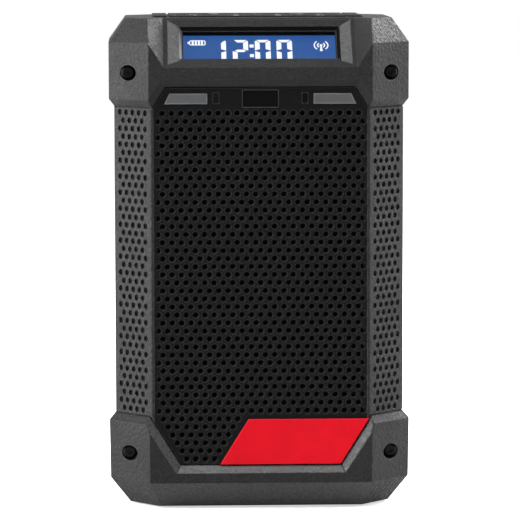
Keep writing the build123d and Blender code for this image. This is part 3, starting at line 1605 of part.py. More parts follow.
def port_cover():
    """Rubber flap with a finger tab and plugs for both sockets, hinged at its inner edge."""
    high_y = body_back_y + 0.3
    low_y = high_y - flap_thick
    width, height = port_width - 2 * flap_gap, port_height - 2 * flap_gap
    plate = rounded_bar(width, height, port_corner_radius - 0.2, port_x, pack_z, (low_y, high_y))
    edge_x = port_x - port_width / 2
    tab = slab(
        (edge_x - flap_tab_reach, edge_x + 2.0),
        (body_back_y + 0.1, body_back_y + 1.6),
        (pack_z - flap_tab_half, pack_z + flap_tab_half),
    )
    plug_y = (low_y - flap_plug_length, low_y + 0.5)
    jack_plug = rod(jack_bore_radius - 0.3, port_x, pack_z + jack_offset, plug_y)
    usb_z = pack_z + usb_offset
    usb_plug = slab((port_x - usb_half_width + 0.9, port_x - 0.3), plug_y, (usb_z - 5, usb_z + 5))
    return merged([plate, tab, jack_plug, usb_plug])


# ---- boards ----
def main_board():
    """Tuner and amplifier board, upright behind the driver, with its heat sink."""
    low_y, high_y = main_board_front_y, main_board_back_y
    half = main_board_half_width
    board = slab((-half, half), (low_y, high_y), (main_board_low_z, main_board_high_z))
    sink_top_z = main_board_high_z - sink_drop
    sink_z = (sink_top_z - sink_height, sink_top_z)
    sink = slab((-sink_half_width, sink_half_width), (low_y - sink_depth, low_y), sink_z)
    slot_count = int((2 * sink_half_width - sink_slot_pitch) / sink_slot_pitch)
    slots = []
    for i in range(slot_count):
        x = (i - (slot_count - 1) / 2) * sink_slot_pitch
        across = (x - sink_slot_width / 2, x + sink_slot_width / 2)
        slot_y = (low_y - sink_depth - 1, low_y - sink_base)
        slots.append(slab(across, slot_y, (sink_z[0] - 1, sink_z[1] + 1)))
    chips = []
    reach = chip_size / 2
    for x, rise in chip_spots:
        z = main_board_low_z + rise
        chips.append(slab((x - reach, x + reach), (low_y - chip_thick, low_y), (z - reach, z + reach)))
    can_z = main_board_low_z + can_rise
    cans = [rod(can_radius, x, can_z, (high_y, high_y + can_height)) for x in can_xs]
    holes = [rod(small_screw_bore, x, z, (low_y - 1, high_y + 1)) for x, z in main_post_spots]
    return one(merged([board, one(sink.cut(*slots)), *chips, *cans]).cut(*holes))


def power_board():
    """Charger and mains supply board, flat above the floor."""
    low_z, high_z = power_board_z, power_board_z + board_thick
    half = power_board_half_width
    depth = power_board_half_depth
    board = slab((-half, half), (power_board_y - depth, power_board_y + depth), (low_z, high_z))
    transformer = slab(transformer_x, transformer_y, (high_z, low_z + transformer_height))
    cans = [
        upright(power_can_radius, power_can_x, y, (high_z, low_z + power_can_height)) for y in power_can_ys
    ]
    choke = slab(choke_x, choke_y, (high_z, low_z + choke_height))
    holes = [upright(small_screw_bore, x, y, (low_z - 1, high_z + 1)) for x, y in power_post_spots]
    return one(merged([board, transformer, *cans, choke]).cut(*holes))


def small_screw(plane, length):
    """A pan-head screw; the plane lies under its head and faces back towards the driver bit."""
    head = Solid.make_cylinder(board_screw_head_radius, board_screw_head_height, plane)
    shank = Solid.make_cylinder(small_screw_radius, length, Plane(origin=plane.origin, z_dir=-plane.z_dir))
    return head + shank


def board_screws():
    """Screws of the main board, the power board and the key board."""
    planes = [Plane(origin=(x, main_board_front_y, z), z_dir=(0, -1, 0)) for x, z in main_post_spots]
    power_z, key_z = power_board_z + board_thick, key_board_top_z - board_thick
    planes += [Plane(origin=(x, y, power_z), z_dir=(0, 0, 1)) for x, y in power_post_spots]
    planes += [Plane(origin=(x, y, key_z), z_dir=(0, 0, -1)) for x, y in key_post_spots]
    return group([small_screw(plane, board_screw_length) for plane in planes])


def driver_screws():
    """Screws that hold the driver and the radiator to the baffle."""
    planes = [Plane(origin=(x, baffle_back_y + 2, z), z_dir=(0, 1, 0)) for x, z in woofer_screw_spots]
    planes += [Plane(origin=(x, baffle_back_y + 3, z), z_dir=(0, 1, 0)) for x, z in radiator_screw_spots]
    return group([small_screw(plane, 4.4) for plane in planes])


def main():
    nodes = {
        "front_shell": front_shell,
        "rear_shell": rear_shell,
        "shell_screws": shell_screws,
        "bottom_guard": bottom_guard,
        "top_guard": top_guard,
        "guard_screws_front": lambda: guard_screws(False),
        "guard_screws_rear": lambda: guard_screws(True),
        "rubber_feet": rubber_feet,
        "front_panel": front_panel,
        "badge_plate": badge_plate,
        "light_pipe_left": lambda: light_pipe(-1),
        "light_pipe_right": lambda: light_pipe(1),
        "light_board": light_board,
        "display_frame": display_frame,
        "display_lens": display_lens,
        "lcd_glass": lcd_glass,
        "display_board": display_board,
        "key_panel": key_panel,
        "key_board": key_board,
        "carry_handle": carry_handle,
        "handle_grip": handle_grip,
        "handle_pins": handle_pins,
        "grille_cloth": grille_cloth,
        "shell_seals": shell_seals,
        "board_screws": board_screws,
        "driver_screws": driver_screws,
        "speaker_baffle": baffle,
        "woofer_basket": woofer_basket,
        "woofer_magnet": woofer_magnet,
        "woofer_cone": woofer_cone,
        "woofer_surround": woofer_surround,
        "radiator_frame": radiator_frame,
        "radiator_plate": radiator_plate,
        "radiator_surround": radiator_surround,
        "battery_dock": battery_dock,
        "dock_terminals": dock_terminals,
        "battery_case": battery_case,
        "battery_cap": battery_cap,
        "battery_cells": battery_cells,
        "battery_latch_left": lambda: battery_latch(-1),
        "battery_latch_right": lambda: battery_latch(1),
        "ac_inlet": ac_inlet,
        "inlet_pins": inlet_pins,
        "usb_socket": usb_socket,
        "audio_jack": audio_jack,
        "port_cover": port_cover,
        "main_board": main_board,
        "power_board": power_board,
    }
    for name, make in nodes.items():
        export_step(make(), f"parts/{name}.step")
    for name, x, y, width in key_spots():
        export_step(key(x, y, width), f"parts/{name}.step")


main()
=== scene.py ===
"""Looks of the jobsite radio: finishes for every part, display picture, key and charge signs, and studio."""

import json
import math

import bmesh
import bpy
from bpy.props import FloatProperty, FloatVectorProperty, PointerProperty
from mathutils import Matrix, Vector


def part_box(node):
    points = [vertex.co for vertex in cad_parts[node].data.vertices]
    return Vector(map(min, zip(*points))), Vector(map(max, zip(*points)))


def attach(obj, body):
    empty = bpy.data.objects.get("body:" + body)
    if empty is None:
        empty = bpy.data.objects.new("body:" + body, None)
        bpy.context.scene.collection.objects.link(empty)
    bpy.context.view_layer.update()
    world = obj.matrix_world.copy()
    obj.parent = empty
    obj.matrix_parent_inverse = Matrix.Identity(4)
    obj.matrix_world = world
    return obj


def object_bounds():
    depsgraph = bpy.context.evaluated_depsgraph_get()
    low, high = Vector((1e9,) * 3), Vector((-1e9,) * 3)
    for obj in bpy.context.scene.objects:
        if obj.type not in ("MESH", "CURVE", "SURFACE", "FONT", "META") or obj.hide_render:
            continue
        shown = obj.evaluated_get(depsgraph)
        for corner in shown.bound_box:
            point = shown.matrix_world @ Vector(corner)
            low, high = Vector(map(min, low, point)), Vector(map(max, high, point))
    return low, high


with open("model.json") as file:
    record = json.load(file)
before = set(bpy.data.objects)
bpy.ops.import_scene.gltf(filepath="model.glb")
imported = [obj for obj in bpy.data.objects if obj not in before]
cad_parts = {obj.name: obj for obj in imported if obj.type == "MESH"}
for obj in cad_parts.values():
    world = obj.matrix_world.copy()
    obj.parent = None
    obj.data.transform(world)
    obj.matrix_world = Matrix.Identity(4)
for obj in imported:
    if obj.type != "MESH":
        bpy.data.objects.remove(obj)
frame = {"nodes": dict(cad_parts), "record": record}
cad_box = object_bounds()

bl_info = {
    "name": "Jobsite radio finisher",
    "version": (1, 0, 0),
    "blender": (4, 5, 0),
    "location": "3D View > Sidebar > Radio",
    "description": "Gives a jobsite radio its finishes, display picture, signs and studio",
    "category": "Object",
}

MM = 0.001


def mm(*lengths):
    """Lengths given in millimetres."""
    return tuple(length * MM for length in lengths)


BODY_FRONT_Y = cad_box[0].y
LIFT = 0.02 * MM  # air between a face and the mark or skin in front of it
ROOT = 0.02 * MM  # how far a raised sign or rim reaches into the face under it
SKIN_THICKNESS = 0.06 * MM


def colour_prop(name, description, value):
    """A colour that the panel shows as a swatch."""
    return FloatVectorProperty(
        name=name, description=description, subtype="COLOR", size=3, min=0.0, max=1.0, default=value
    )


def length_prop(name, description, value):
    """A length in metres."""
    return FloatProperty(name=name, description=description, unit="LENGTH", default=value, precision=5)


def power_prop(name, description, value):
    """A lamp's power."""
    return FloatProperty(name=name, description=description, unit="POWER", default=value, min=0.0)


def angle_prop(name, description, degrees):
    """An angle given in degrees."""
    return FloatProperty(name=name, description=description, subtype="ANGLE", default=math.radians(degrees))


class RadioColours(bpy.types.PropertyGroup):
    """Colours of the mouldings and of the display."""

    housing: colour_prop("Housing", "Grained plastic of the shells and guards", (0.0100, 0.0101, 0.0103))
    panel: colour_prop("Speaker panel", "Plastic of the perforated panel", (0.0022, 0.0022, 0.0023))
    badge: colour_prop("Badge", "Semi-gloss plate at the foot of the panel", (0.46, 0.002, 0.009))
    light_pipe: colour_prop("Light pipe", "Frosted charge lights", (0.041, 0.042, 0.044))
    display_blue: colour_prop("Display blue", "Backlight of the clock display", (0.0285, 0.095, 0.310))
    display_mark: colour_prop("Display marks", "Lit digits and signs", (0.93, 0.96, 1.0))
    display_border: colour_prop("Display border", "Unlit edge of the display glass", (0.020, 0.014, 0.016))
    # this black also paints the shade over the window's top and right lips
    sign_black: colour_prop(
        "Embossed signs", "Black of the signs beside the charge lights", (0.0025, 0.0025, 0.0026)
    )
    key: colour_prop("Keys", "Rubber of the key caps", (0.012, 0.012, 0.013))
    key_mark: colour_prop("Key marks", "Printed signs on the keys", (0.62, 0.63, 0.64))
    floor: colour_prop("Floor", "Pale floor of the studio", (0.80, 0.80, 0.80))


class RadioSizes(bpy.types.PropertyGroup):
    """Sizes of the finish and of the fine detail."""

    grain: length_prop("Grain", "Size of the moulded grain", 1.2 * MM)
    edge_round: length_prop("Edge rounding", "Radius of the softened edges in shading", 0.6 * MM)
    digit_height: length_prop("Digit height", "Height of the clock's digits", 16.0 * MM)
    digit_width: length_prop("Digit width", "Width of the clock's digits", 8.1 * MM)
    upright_stroke: length_prop("Upright stroke", "Width of a digit's upright segments", 2.55 * MM)
    level_stroke: length_prop("Level stroke", "Height of a digit's level segments", 1.8 * MM)
    mark_thickness: length_prop("Mark thickness", "Thickness of printed marks", 0.05 * MM)


class RadioStudio(bpy.types.PropertyGroup):
    """Camera and lamps."""

    camera_distance: length_prop("Camera distance", "From the guards' front plane to the camera", 1.770)
    camera_height: length_prop("Camera height", "Height of the camera above the floor", 0.3010)
    camera_side: length_prop("Camera side", "Sideways place of the camera", -0.068)
    aim_x: length_prop("Aim X", "Sideways place of the point looked at, on the front plane", -0.0005)
    aim_drop: angle_prop("Look down", "Angle below the horizon", 5.488)
    roll: angle_prop("Roll", "Turn about the line of sight", 0.1)
    lens: FloatProperty(name="Lens", description="Focal length in millimetres", default=238.8, min=10.0)
    right_power: power_prop("Right power", "Lamp level with the right side", 20.0)
    left_power: power_prop("Left power", "Lamp level with the left side", 46.0)
    rim_power: power_prop("Rim power", "High lamp behind the right side", 38.0)
    high_power: power_prop("High power", "High lamp before the left side", 20.0)
    top_power: power_prop("Top power", "Overhead lamp", 20.0)
    front_power: power_prop("Front power", "Lamp behind the camera", 1.0)
    sky: FloatProperty(name="Sky", description="Strength of the even light all round", default=0.06)


# ---- finishes ----
NOISE_SPAN = (0.3, 0.7)  # most values of a noise lie in here
GRAIN_SPAN = (0.38, 0.62)  # values of the moulded grain from its pits to its peaks
EDGE_SPAN = (0.997, 0.93)  # cosine between true and rounded normal, from no edge to a full edge
BEVEL_SAMPLES = 6
BLACK = (0.0, 0.0, 0.0)
WHITE = (1.0, 1.0, 1.0)
BARE_STEEL = (0.05, 0.05, 0.052)


def tone(colour, share, lift=0.0):
    """A share of the colour plus a lift, no brighter than white."""
    return tuple(min(1.0, c * share + lift) for c in colour)


class Finish:
    """A node material in the making: one Principled shader and the helpers that feed it."""

    def __init__(self, name, colour, roughness, metallic=0.0, specular=0.5):
        self.material = bpy.data.materials.new(name)
        self.material.use_nodes = True
        self.tree = self.material.node_tree
        self.shader = self.tree.nodes["Principled BSDF"]
        self.colour = tuple(colour)
        self.give(Base_Color=self.colour, Roughness=roughness)
        self.give(Metallic=metallic, Specular_IOR_Level=specular)
        self.place = self.add("ShaderNodeTexCoord").outputs["Object"]
        self.surface_normal = None

    def add(self, kind, **values):
        """A new node with the given input values."""
        node = self.tree.nodes.new(kind)
        for socket, value in values.items():
            node.inputs[socket.replace("_", " ")].default_value = value
        return node

    def join(self, output, socket):
        """A link from an output to an input."""
        self.tree.links.new(output, socket)

    def feed(self, value, socket):
        """Gives an input a number, a colour or another node's output."""
        if isinstance(value, (int, float)):
            socket.default_value = value
        elif isinstance(value, tuple):
            socket.default_value = (*value, 1.0)
        else:
            self.join(value, socket)

    def give(self, **values):
        """Feeds the shader's inputs of the given names."""
        for name, value in values.items():
            self.feed(value, self.shader.inputs[name.replace("_", " ")])

    def noise(self, size, detail=2.0, stretch=(1.0, 1.0, 1.0), roughness=0.5):
        """Cloudy noise with features of about the given size in metres."""
        scaled = self.add("ShaderNodeMapping")
        scaled.inputs["Scale"].default_value = stretch
        self.join(self.place, scaled.inputs["Vector"])
        texture = self.add("ShaderNodeTexNoise", Scale=1.0 / size, Detail=detail, Roughness=roughness)
        self.join(scaled.outputs["Vector"], texture.inputs["Vector"])
        return texture.outputs["Fac"]

    def cells(self, size):
        """Cell noise with cells of about the given size in metres."""
        texture = self.add("ShaderNodeTexVoronoi", Scale=1.0 / size)
        self.join(self.place, texture.inputs["Vector"])
        return texture.outputs["Distance"]

    def remap(self, value, low, high, to_low, to_high):
        """Carries a value from one span to another, and holds it inside."""
        node = self.add("ShaderNodeMapRange")
        spans = {"From Min": low, "From Max": high, "To Min": to_low, "To Max": to_high}
        for socket, number in spans.items():
            node.inputs[socket].default_value = number
        self.join(value, node.inputs["Value"])
        return node.outputs["Result"]

    def combine(self, operation, first, second):
        """Arithmetic on two values, each a socket or a number."""
        node = self.add("ShaderNodeMath")
        node.operation = operation
        self.feed(first, node.inputs[0])
        self.feed(second, node.inputs[1])
        return node.outputs["Value"]

    def blend_colours(self, factor, first, second):
        """A colour between two, each a socket or a plain colour."""
        node = self.add("ShaderNodeMix")
        node.data_type = "RGBA"
        self.feed(factor, node.inputs["Factor"])
        inputs = [s for s in node.inputs if s.type == "RGBA"]
        self.feed(first, inputs[0])
        self.feed(second, inputs[1])
        return [s for s in node.outputs if s.type == "RGBA"][0]

    def shade_edges(self, radius):
        """Softens hard edges in the shading and returns a mask of where they are."""
        bevel = self.add("ShaderNodeBevel", Radius=radius)
        bevel.samples = BEVEL_SAMPLES
        self.surface_normal = bevel.outputs["Normal"]
        geometry = self.add("ShaderNodeNewGeometry")
        product = self.add("ShaderNodeVectorMath")
        product.operation = "DOT_PRODUCT"
        self.join(bevel.outputs["Normal"], product.inputs[0])
        self.join(geometry.outputs["True Normal"], product.inputs[1])
        return self.remap(product.outputs["Value"], *EDGE_SPAN, 0.0, 1.0)

    def bump(self, height, distance):
        """Adds relief on top of what is there."""
        node = self.add("ShaderNodeBump", Strength=1.0, Distance=distance)
        self.join(height, node.inputs["Height"])
        if self.surface_normal is not None:
            self.join(self.surface_normal, node.inputs["Normal"])
        self.surface_normal = node.outputs["Normal"]

    def tint(self, amount, size):
        """Mottles the colour by the given share over blotches of the given size."""
        factor = self.remap(self.noise(size), *NOISE_SPAN, 0.0, 1.0)
        return self.blend_colours(factor, tone(self.colour, 1.0 - amount), tone(self.colour, 1.0 + amount))

    def vary_roughness(self, size, low, high):
        """Lets the roughness wander between two values over patches of the given size."""
        self.give(Roughness=self.remap(self.noise(size), *NOISE_SPAN, low, high))

    def glow(self, amount, colour, strength):
        """Makes the surface give off light of the given colour, by an amount that may vary."""
        lit = self.blend_colours(amount, BLACK, tuple(colour))
        self.give(Emission_Color=lit, Emission_Strength=strength)

    def done(self, colour=None):
        """Connects the colour and the relief, and returns the material."""
        if colour is not None:
            self.give(Base_Color=colour)
        if self.surface_normal is not None:
            self.give(Normal=self.surface_normal)
        return self.material


def moulded_plastic(
    name, colour, grain, edge_round,
    roughness=(0.5, 0.62), relief=0.42, specular=0.095, wear=1.0, rough_speckle=0.20,
):
    """Injection-moulded plastic with a spark-eroded grain, and edges painted paler: partly rubbed wear,
    partly a painted highlight along edges and folds.
    """
    finish = Finish(name, colour, sum(roughness) / 2, specular=specular)
    edges = finish.shade_edges(edge_round)
    fine = finish.noise(grain, detail=3.0, roughness=0.7)
    pits = finish.cells(grain * 1.6)
    height = finish.combine("ADD", fine, finish.combine("MULTIPLY", pits, 0.6))
    finish.bump(height, relief * MM)
    broad = finish.remap(finish.noise(18 * MM), *NOISE_SPAN, *roughness)
    speckle = finish.remap(fine, *GRAIN_SPAN, 0.0, 1.0)
    rough_grain = finish.remap(speckle, 0.0, 1.0, -rough_speckle, rough_speckle)
    finish.give(Roughness=finish.combine("ADD", broad, rough_grain))
    mottled = finish.tint(0.10, 9 * MM)
    grained = finish.blend_colours(speckle, tone(colour, 0.25), tone(colour, 2.5))
    grained = finish.blend_colours(0.5, grained, mottled)
    # the edge mask, broken up by scuffs, paints the edges paler: partly rubbed wear, partly a painted
    # highlight along edges and folds; wear sets its strength
    scuffs = finish.remap(finish.noise(2.4 * MM, detail=4.0), 0.36, 0.62, 0.35 * wear, wear)
    wear_and_edge_highlight = finish.combine("MULTIPLY", edges, scuffs)
    return finish.done(finish.blend_colours(wear_and_edge_highlight, grained, tone(colour, 3.0, lift=0.03)))


def gloss_plastic(name, colour, edge_round, roughness=(0.24, 0.36), wear=0.35, specular=0.5):
    """Smooth plastic with a faint orange-peel and hairline scuffs."""
    finish = Finish(name, colour, roughness[0], specular=specular)
    edges = finish.shade_edges(edge_round)
    peel = finish.noise(2.2 * MM, detail=1.0)
    scratches = finish.noise(0.9 * MM, detail=3.0, stretch=(1.0, 1.0, 9.0))
    finish.bump(peel, 0.03 * MM)
    finish.bump(scratches, 0.006 * MM)
    finish.vary_roughness(7 * MM, *roughness)
    # edges painted paler: partly rubbed wear, partly a painted edge highlight
    wear_and_edge_highlight = finish.combine("MULTIPLY", edges, wear)
    mottled = finish.tint(0.05, 11 * MM)
    return finish.done(finish.blend_colours(wear_and_edge_highlight, mottled, tone(colour, 1.25, lift=0.03)))


def rubber(name, colour, relief=0.05):
    """Matte moulded rubber, dusty in the pores."""
    finish = Finish(name, colour, 0.75, specular=0.25)
    finish.shade_edges(0.4 * MM)
    pores = finish.cells(0.8 * MM)
    finish.bump(pores, relief * MM)
    finish.bump(finish.noise(6 * MM), 0.05 * MM)
    finish.vary_roughness(5 * MM, 0.66, 0.86)
    dust = finish.remap(finish.noise(3.5 * MM, detail=5.0), 0.5, 0.8, 0.0, 0.4)
    mottled = finish.tint(0.15, 4 * MM)
    return finish.done(finish.blend_colours(dust, mottled, tone(colour, 1.0, lift=0.02)))


def metal(name, colour, roughness):
    """Plain metal with a fine texture and a tarnish that varies."""
    finish = Finish(name, colour, roughness, metallic=1.0)
    finish.shade_edges(0.2 * MM)
    finish.bump(finish.noise(0.3 * MM, detail=3.0), 0.01 * MM)
    finish.vary_roughness(2.5 * MM, roughness * 0.8, min(1.0, roughness * 1.4))
    tarnish = finish.remap(finish.noise(1.8 * MM, detail=4.0), 0.4, 0.7, 0.0, 0.5)
    return finish.done(finish.blend_colours(tarnish, tuple(colour), tone(colour, 0.55)))


def blackened_metal(name, colour):
    """Painted or blackened steel, with bare metal showing faintly at its edges."""
    finish = Finish(name, colour, 0.32, metallic=0.05, specular=0.06)
    edges = finish.shade_edges(0.25 * MM)
    finish.bump(finish.noise(0.5 * MM, detail=3.0), 0.012 * MM)
    finish.vary_roughness(2 * MM, 0.26, 0.42)
    patches = finish.remap(finish.noise(1.2 * MM, detail=3.0), 0.4, 0.6, 0.1, 0.8)
    bare = finish.combine("MULTIPLY", edges, patches)
    return finish.done(finish.blend_colours(bare, finish.tint(0.2, 2 * MM), BARE_STEEL))


def speaker_cloth(name, colour):
    """Fine plain weave, seen through the holes."""
    finish = Finish(name, colour, 0.9, specular=0.03)
    thread = 0.36 * MM
    wave_scale = math.pi / thread / 10.0
    waves = []
    for direction in ("X", "Z"):
        wave = finish.add("ShaderNodeTexWave", Scale=wave_scale)
        wave.bands_direction = direction
        finish.join(finish.place, wave.inputs["Vector"])
        waves.append(wave.outputs["Fac"])
    weave = finish.combine("MULTIPLY", *waves)
    finish.bump(weave, 0.12 * MM)
    finish.vary_roughness(3 * MM, 0.8, 0.95)
    return finish.done(finish.blend_colours(weave, tone(colour, 0.5), finish.tint(0.2, 2 * MM)))


def frosted_plastic(name, colour):
    """Milky light-pipe plastic, a little translucent."""
    finish = Finish(name, colour, 0.5, specular=0.35)
    finish.give(Subsurface_Weight=0.25, Subsurface_Scale=1.2 * MM)
    edges = finish.shade_edges(0.3 * MM)
    finish.bump(finish.noise(0.4 * MM, detail=3.0), 0.03 * MM)
    finish.vary_roughness(4 * MM, 0.42, 0.6)
    # the edges are painted paler: a painted highlight where the light pipe's rounded edges catch light
    return finish.done(finish.blend_colours(edges, finish.tint(0.08, 5 * MM), tone(colour, 1.9)))


def clear_window(name):
    """Clear acrylic, very slightly tinted in places."""
    finish = Finish(name, WHITE, 0.0, specular=0.3)
    finish.give(Transmission_Weight=1.0, IOR=1.02)
    tint = finish.blend_colours(finish.noise(12 * MM), (0.97, 0.98, 1.0), WHITE)
    return finish.done(tint)


def backlit_glass(name, colour, strength):
    """Display glass lit from its edges, with a faint dot texture."""
    finish = Finish(name, tone(colour, 0.03), 0.35, specular=0.04)
    cloud = finish.remap(finish.noise(30 * MM, detail=1.0), 0.35, 0.65, 0.9, 1.06)
    dots = finish.remap(finish.cells(0.5 * MM), 0.0, 0.6, 0.97, 1.02)
    finish.glow(finish.combine("MULTIPLY", cloud, dots), colour, strength)
    finish.vary_roughness(8 * MM, 0.3, 0.4)
    return finish.done()


def unlit_glass(name, colour):
    """Dark edge of the display glass outside the lit field."""
    finish = Finish(name, colour, 0.3, specular=0.1)
    finish.bump(finish.noise(2 * MM), 0.005 * MM)
    finish.vary_roughness(4 * MM, 0.25, 0.4)
    return finish.done(finish.tint(0.12, 3 * MM))


def lit_mark(name, colour, strength):
    """Lit segments of the display."""
    finish = Finish(name, tone(colour, 0.05), 0.4, specular=0.05)
    finish.glow(finish.remap(finish.noise(4 * MM), *NOISE_SPAN, 0.94, 1.0), colour, strength)
    finish.vary_roughness(3 * MM, 0.35, 0.45)
    return finish.done()


def circuit_board(name, colour):
    """Green solder resist with copper lines showing through."""
    finish = Finish(name, colour, 0.35, specular=0.5)
    finish.shade_edges(0.2 * MM)
    bricks = finish.add("ShaderNodeTexBrick", Scale=120.0, Mortar_Size=0.03)
    finish.join(finish.place, bricks.inputs["Vector"])
    lines = bricks.outputs["Fac"]
    finish.bump(lines, 0.02 * MM)
    finish.vary_roughness(6 * MM, 0.28, 0.45)
    mottled = finish.tint(0.15, 8 * MM)
    return finish.done(finish.blend_colours(lines, mottled, tone(colour, 2.2, lift=0.01)))


def printed_mark(name, colour):
    """Pad-printed ink, a little worn."""
    finish = Finish(name, colour, 0.55, specular=0.3)
    wear = finish.remap(finish.noise(0.8 * MM, detail=4.0), 0.62, 0.75, 0.0, 0.5)
    finish.bump(finish.noise(0.3 * MM), 0.01 * MM)
    finish.vary_roughness(2 * MM, 0.45, 0.65)
    return finish.done(finish.blend_colours(wear, tuple(colour), tone(colour, 0.45)))


def make_finishes(colours, sizes):
    """One material for each of the record's slots."""
    grain, edge = sizes.grain, sizes.edge_round
    return {
        "housing_plastic": moulded_plastic("housing_plastic", colours.housing, grain, edge),
        # the panel's strong edge paling (wear=2.6) paints highlight arcs round the holes as well as edge
        # wear
        "panel_plastic": moulded_plastic(
            "panel_plastic", colours.panel, grain * 0.8, edge * 0.5,
            relief=0.20, specular=0.05, wear=2.6, rough_speckle=0.10,
        ),
        "inner_plastic": moulded_plastic("inner_plastic", (0.005, 0.005, 0.005), grain, edge, specular=0.04),
        "battery_plastic": moulded_plastic("battery_plastic", (0.020, 0.020, 0.021), grain, edge),
        "red_plastic": gloss_plastic("red_plastic", colours.badge, 0.5 * MM, specular=0.05),
        "frosted_plastic": frosted_plastic("frosted_plastic", colours.light_pipe),
        "clear_plastic": clear_window("clear_plastic"),
        "display_glass": backlit_glass("display_glass", colours.display_blue, 1.0),
        "key_rubber": rubber("key_rubber", colours.key, relief=0.03),
        "soft_rubber": rubber("soft_rubber", (0.014, 0.014, 0.015)),
        "speaker_cloth": speaker_cloth("speaker_cloth", (0.002, 0.002, 0.002)),
        "cone_paper": rubber("cone_paper", (0.03, 0.03, 0.032), relief=0.08),
        "black_steel": blackened_metal("black_steel", (0.003, 0.003, 0.003)),
        "black_pressing": blackened_metal("black_pressing", (0.022, 0.022, 0.022)),
        "zinc_steel": metal("zinc_steel", (0.52, 0.52, 0.53), 0.3),
        "contact_metal": metal("contact_metal", (0.66, 0.52, 0.28), 0.22),
        "magnet": metal("magnet", (0.07, 0.07, 0.075), 0.5),
        "cell_wrap": gloss_plastic("cell_wrap", (0.03, 0.16, 0.10), 0.3 * MM),
        "circuit_board": circuit_board("circuit_board", (0.012, 0.07, 0.03)),
    }


# ---- meshes ----
def mesh_of(node):
    """The mesh of a CAD node."""
    return frame["nodes"][node].data


def new_piece(name, fill, material, slot, body="root"):
    """A mesh object from a function that fills a bmesh, riding on a body."""
    mesh = bpy.data.meshes.new(name)
    bm = bmesh.new()
    fill(bm)
    bmesh.ops.recalc_face_normals(bm, faces=bm.faces[:])
    bm.to_mesh(mesh)
    bm.free()
    mesh.materials.append(material)
    piece = bpy.data.objects.new(name, mesh)
    bpy.context.scene.collection.objects.link(piece)
    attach(piece, body)


def close_rings(bm, low, high):
    """The two ends and the side walls of a solid between two rings of corners."""
    bm.faces.new(reversed(low))
    bm.faces.new(high)
    count = len(low)
    for i in range(count):
        j = (i + 1) % count
        bm.faces.new((low[i], low[j], high[j], high[i]))


def add_plate(bm, points, place, thickness):
    """A thin plate with the given outline, standing on a plane given as a matrix."""
    low = [bm.verts.new(place @ Vector((x, y, 0.0))) for x, y in points]
    high = [bm.verts.new(place @ Vector((x, y, thickness))) for x, y in points]
    close_rings(bm, low, high)


def new_plates(name, place, outlines, thickness, *finish_and_place):
    """A piece of thin plates on one plane, with the last arguments of new_piece."""

    def fill(bm):
        for outline in outlines:
            add_plate(bm, outline, place, thickness)

    new_piece(name, fill, *finish_and_place)


def rounded_outline(cx, cy, width, height, radius):
    """Corners of a rounded rectangle, counter-clockwise."""
    steps = 5
    points = []
    for corner, (sx, sy) in enumerate(((1, -1), (1, 1), (-1, 1), (-1, -1))):
        middle_x = cx + sx * (width / 2 - radius)
        middle_y = cy + sy * (height / 2 - radius)
        for step in range(steps + 1):
            angle = math.radians(-90 + corner * 90 + step * 90 / steps)
            points.append((middle_x + radius * math.cos(angle), middle_y + radius * math.sin(angle)))
    return points


def arc_outline(cx, cy, radius, width, start, end):
    """A curved band from one angle to another, in degrees."""
    steps = 16
    angles = [math.radians(start + (end - start) * i / steps) for i in range(steps + 1)]

    def arc(reach):
        return [(cx + reach * math.cos(a), cy + reach * math.sin(a)) for a in angles]

    return arc(radius + width / 2) + arc(radius - width / 2)[::-1]


def bar(cx, cy, width, height):
    """A plain rectangle."""
    return [
        (cx - width / 2, cy - height / 2),
        (cx + width / 2, cy - height / 2),
        (cx + width / 2, cy + height / 2),
        (cx - width / 2, cy + height / 2),
    ]


# ---- display ----
def face_frame(node):
    """A matrix at the middle of a sloping node's front face: X to the right, Y up the slope, Z outwards."""
    mesh = mesh_of(node)
    least_tilt, flatness = 0.3, 0.1 * MM
    facing = [p for p in mesh.polygons if p.normal.y < -least_tilt and p.normal.z > least_tilt]
    normal = max(facing, key=lambda p: p.area).normal.copy()
    right = Vector((1, 0, 0))
    up = normal.cross(right).normalized()
    reach = max(v.co.dot(normal) for v in mesh.vertices)
    heights = [v.co.dot(up) for v in mesh.vertices if v.co.dot(normal) > reach - flatness]
    centre = normal * reach + up * (min(heights) + max(heights)) / 2
    return Matrix.Translation(centre) @ Matrix((right, up, normal)).transposed().to_4x4()


# the lit segments of each digit: a is the top one, b to f follow it clockwise, and g is the middle one
SEGMENTS = {
    "0": "abcdef", "1": "bc", "2": "abged", "3": "abgcd", "4": "fgbc",
    "5": "afgcd", "6": "afgedc", "7": "abc", "8": "abcdefg", "9": "abcdfg",
}


def digit_outlines(sign, cx, cy, width, height, upright, level):
    """Outlines of a seven-segment digit whose strokes are mitred at the corners."""
    half_w, half_h = width / 2, height / 2
    corner = upright * 0.34
    shoulder = corner * 0.8
    point = upright * 0.42
    gap = level * 0.16
    drop = gap * 1.6
    inner_end = level * 0.72
    outer_end = gap * 0.8
    top = [
        (-half_w + corner, half_h), (half_w - corner, half_h),
        (half_w - upright, half_h - level), (-half_w + upright, half_h - level),
    ]
    side = [
        (-half_w, half_h - corner - gap),
        (-half_w + shoulder, half_h - drop),
        (-half_w + upright, half_h - level - drop),
        (-half_w + upright, inner_end),
        (-half_w, outer_end),
    ]
    middle = [
        (-half_w + point, 0), (-half_w + upright, level / 2), (half_w - upright, level / 2),
        (half_w - point, 0), (half_w - upright, -level / 2), (-half_w + upright, -level / 2),
    ]
    shapes = {
        "a": top, "d": flipped(top, 1, -1), "g": middle, "f": side,
        "b": flipped(side, -1, 1), "e": flipped(side, 1, -1), "c": flipped(side, -1, -1),
    }
    return [[(cx + x, cy + y) for x, y in shapes[key]] for key in SEGMENTS[sign]]


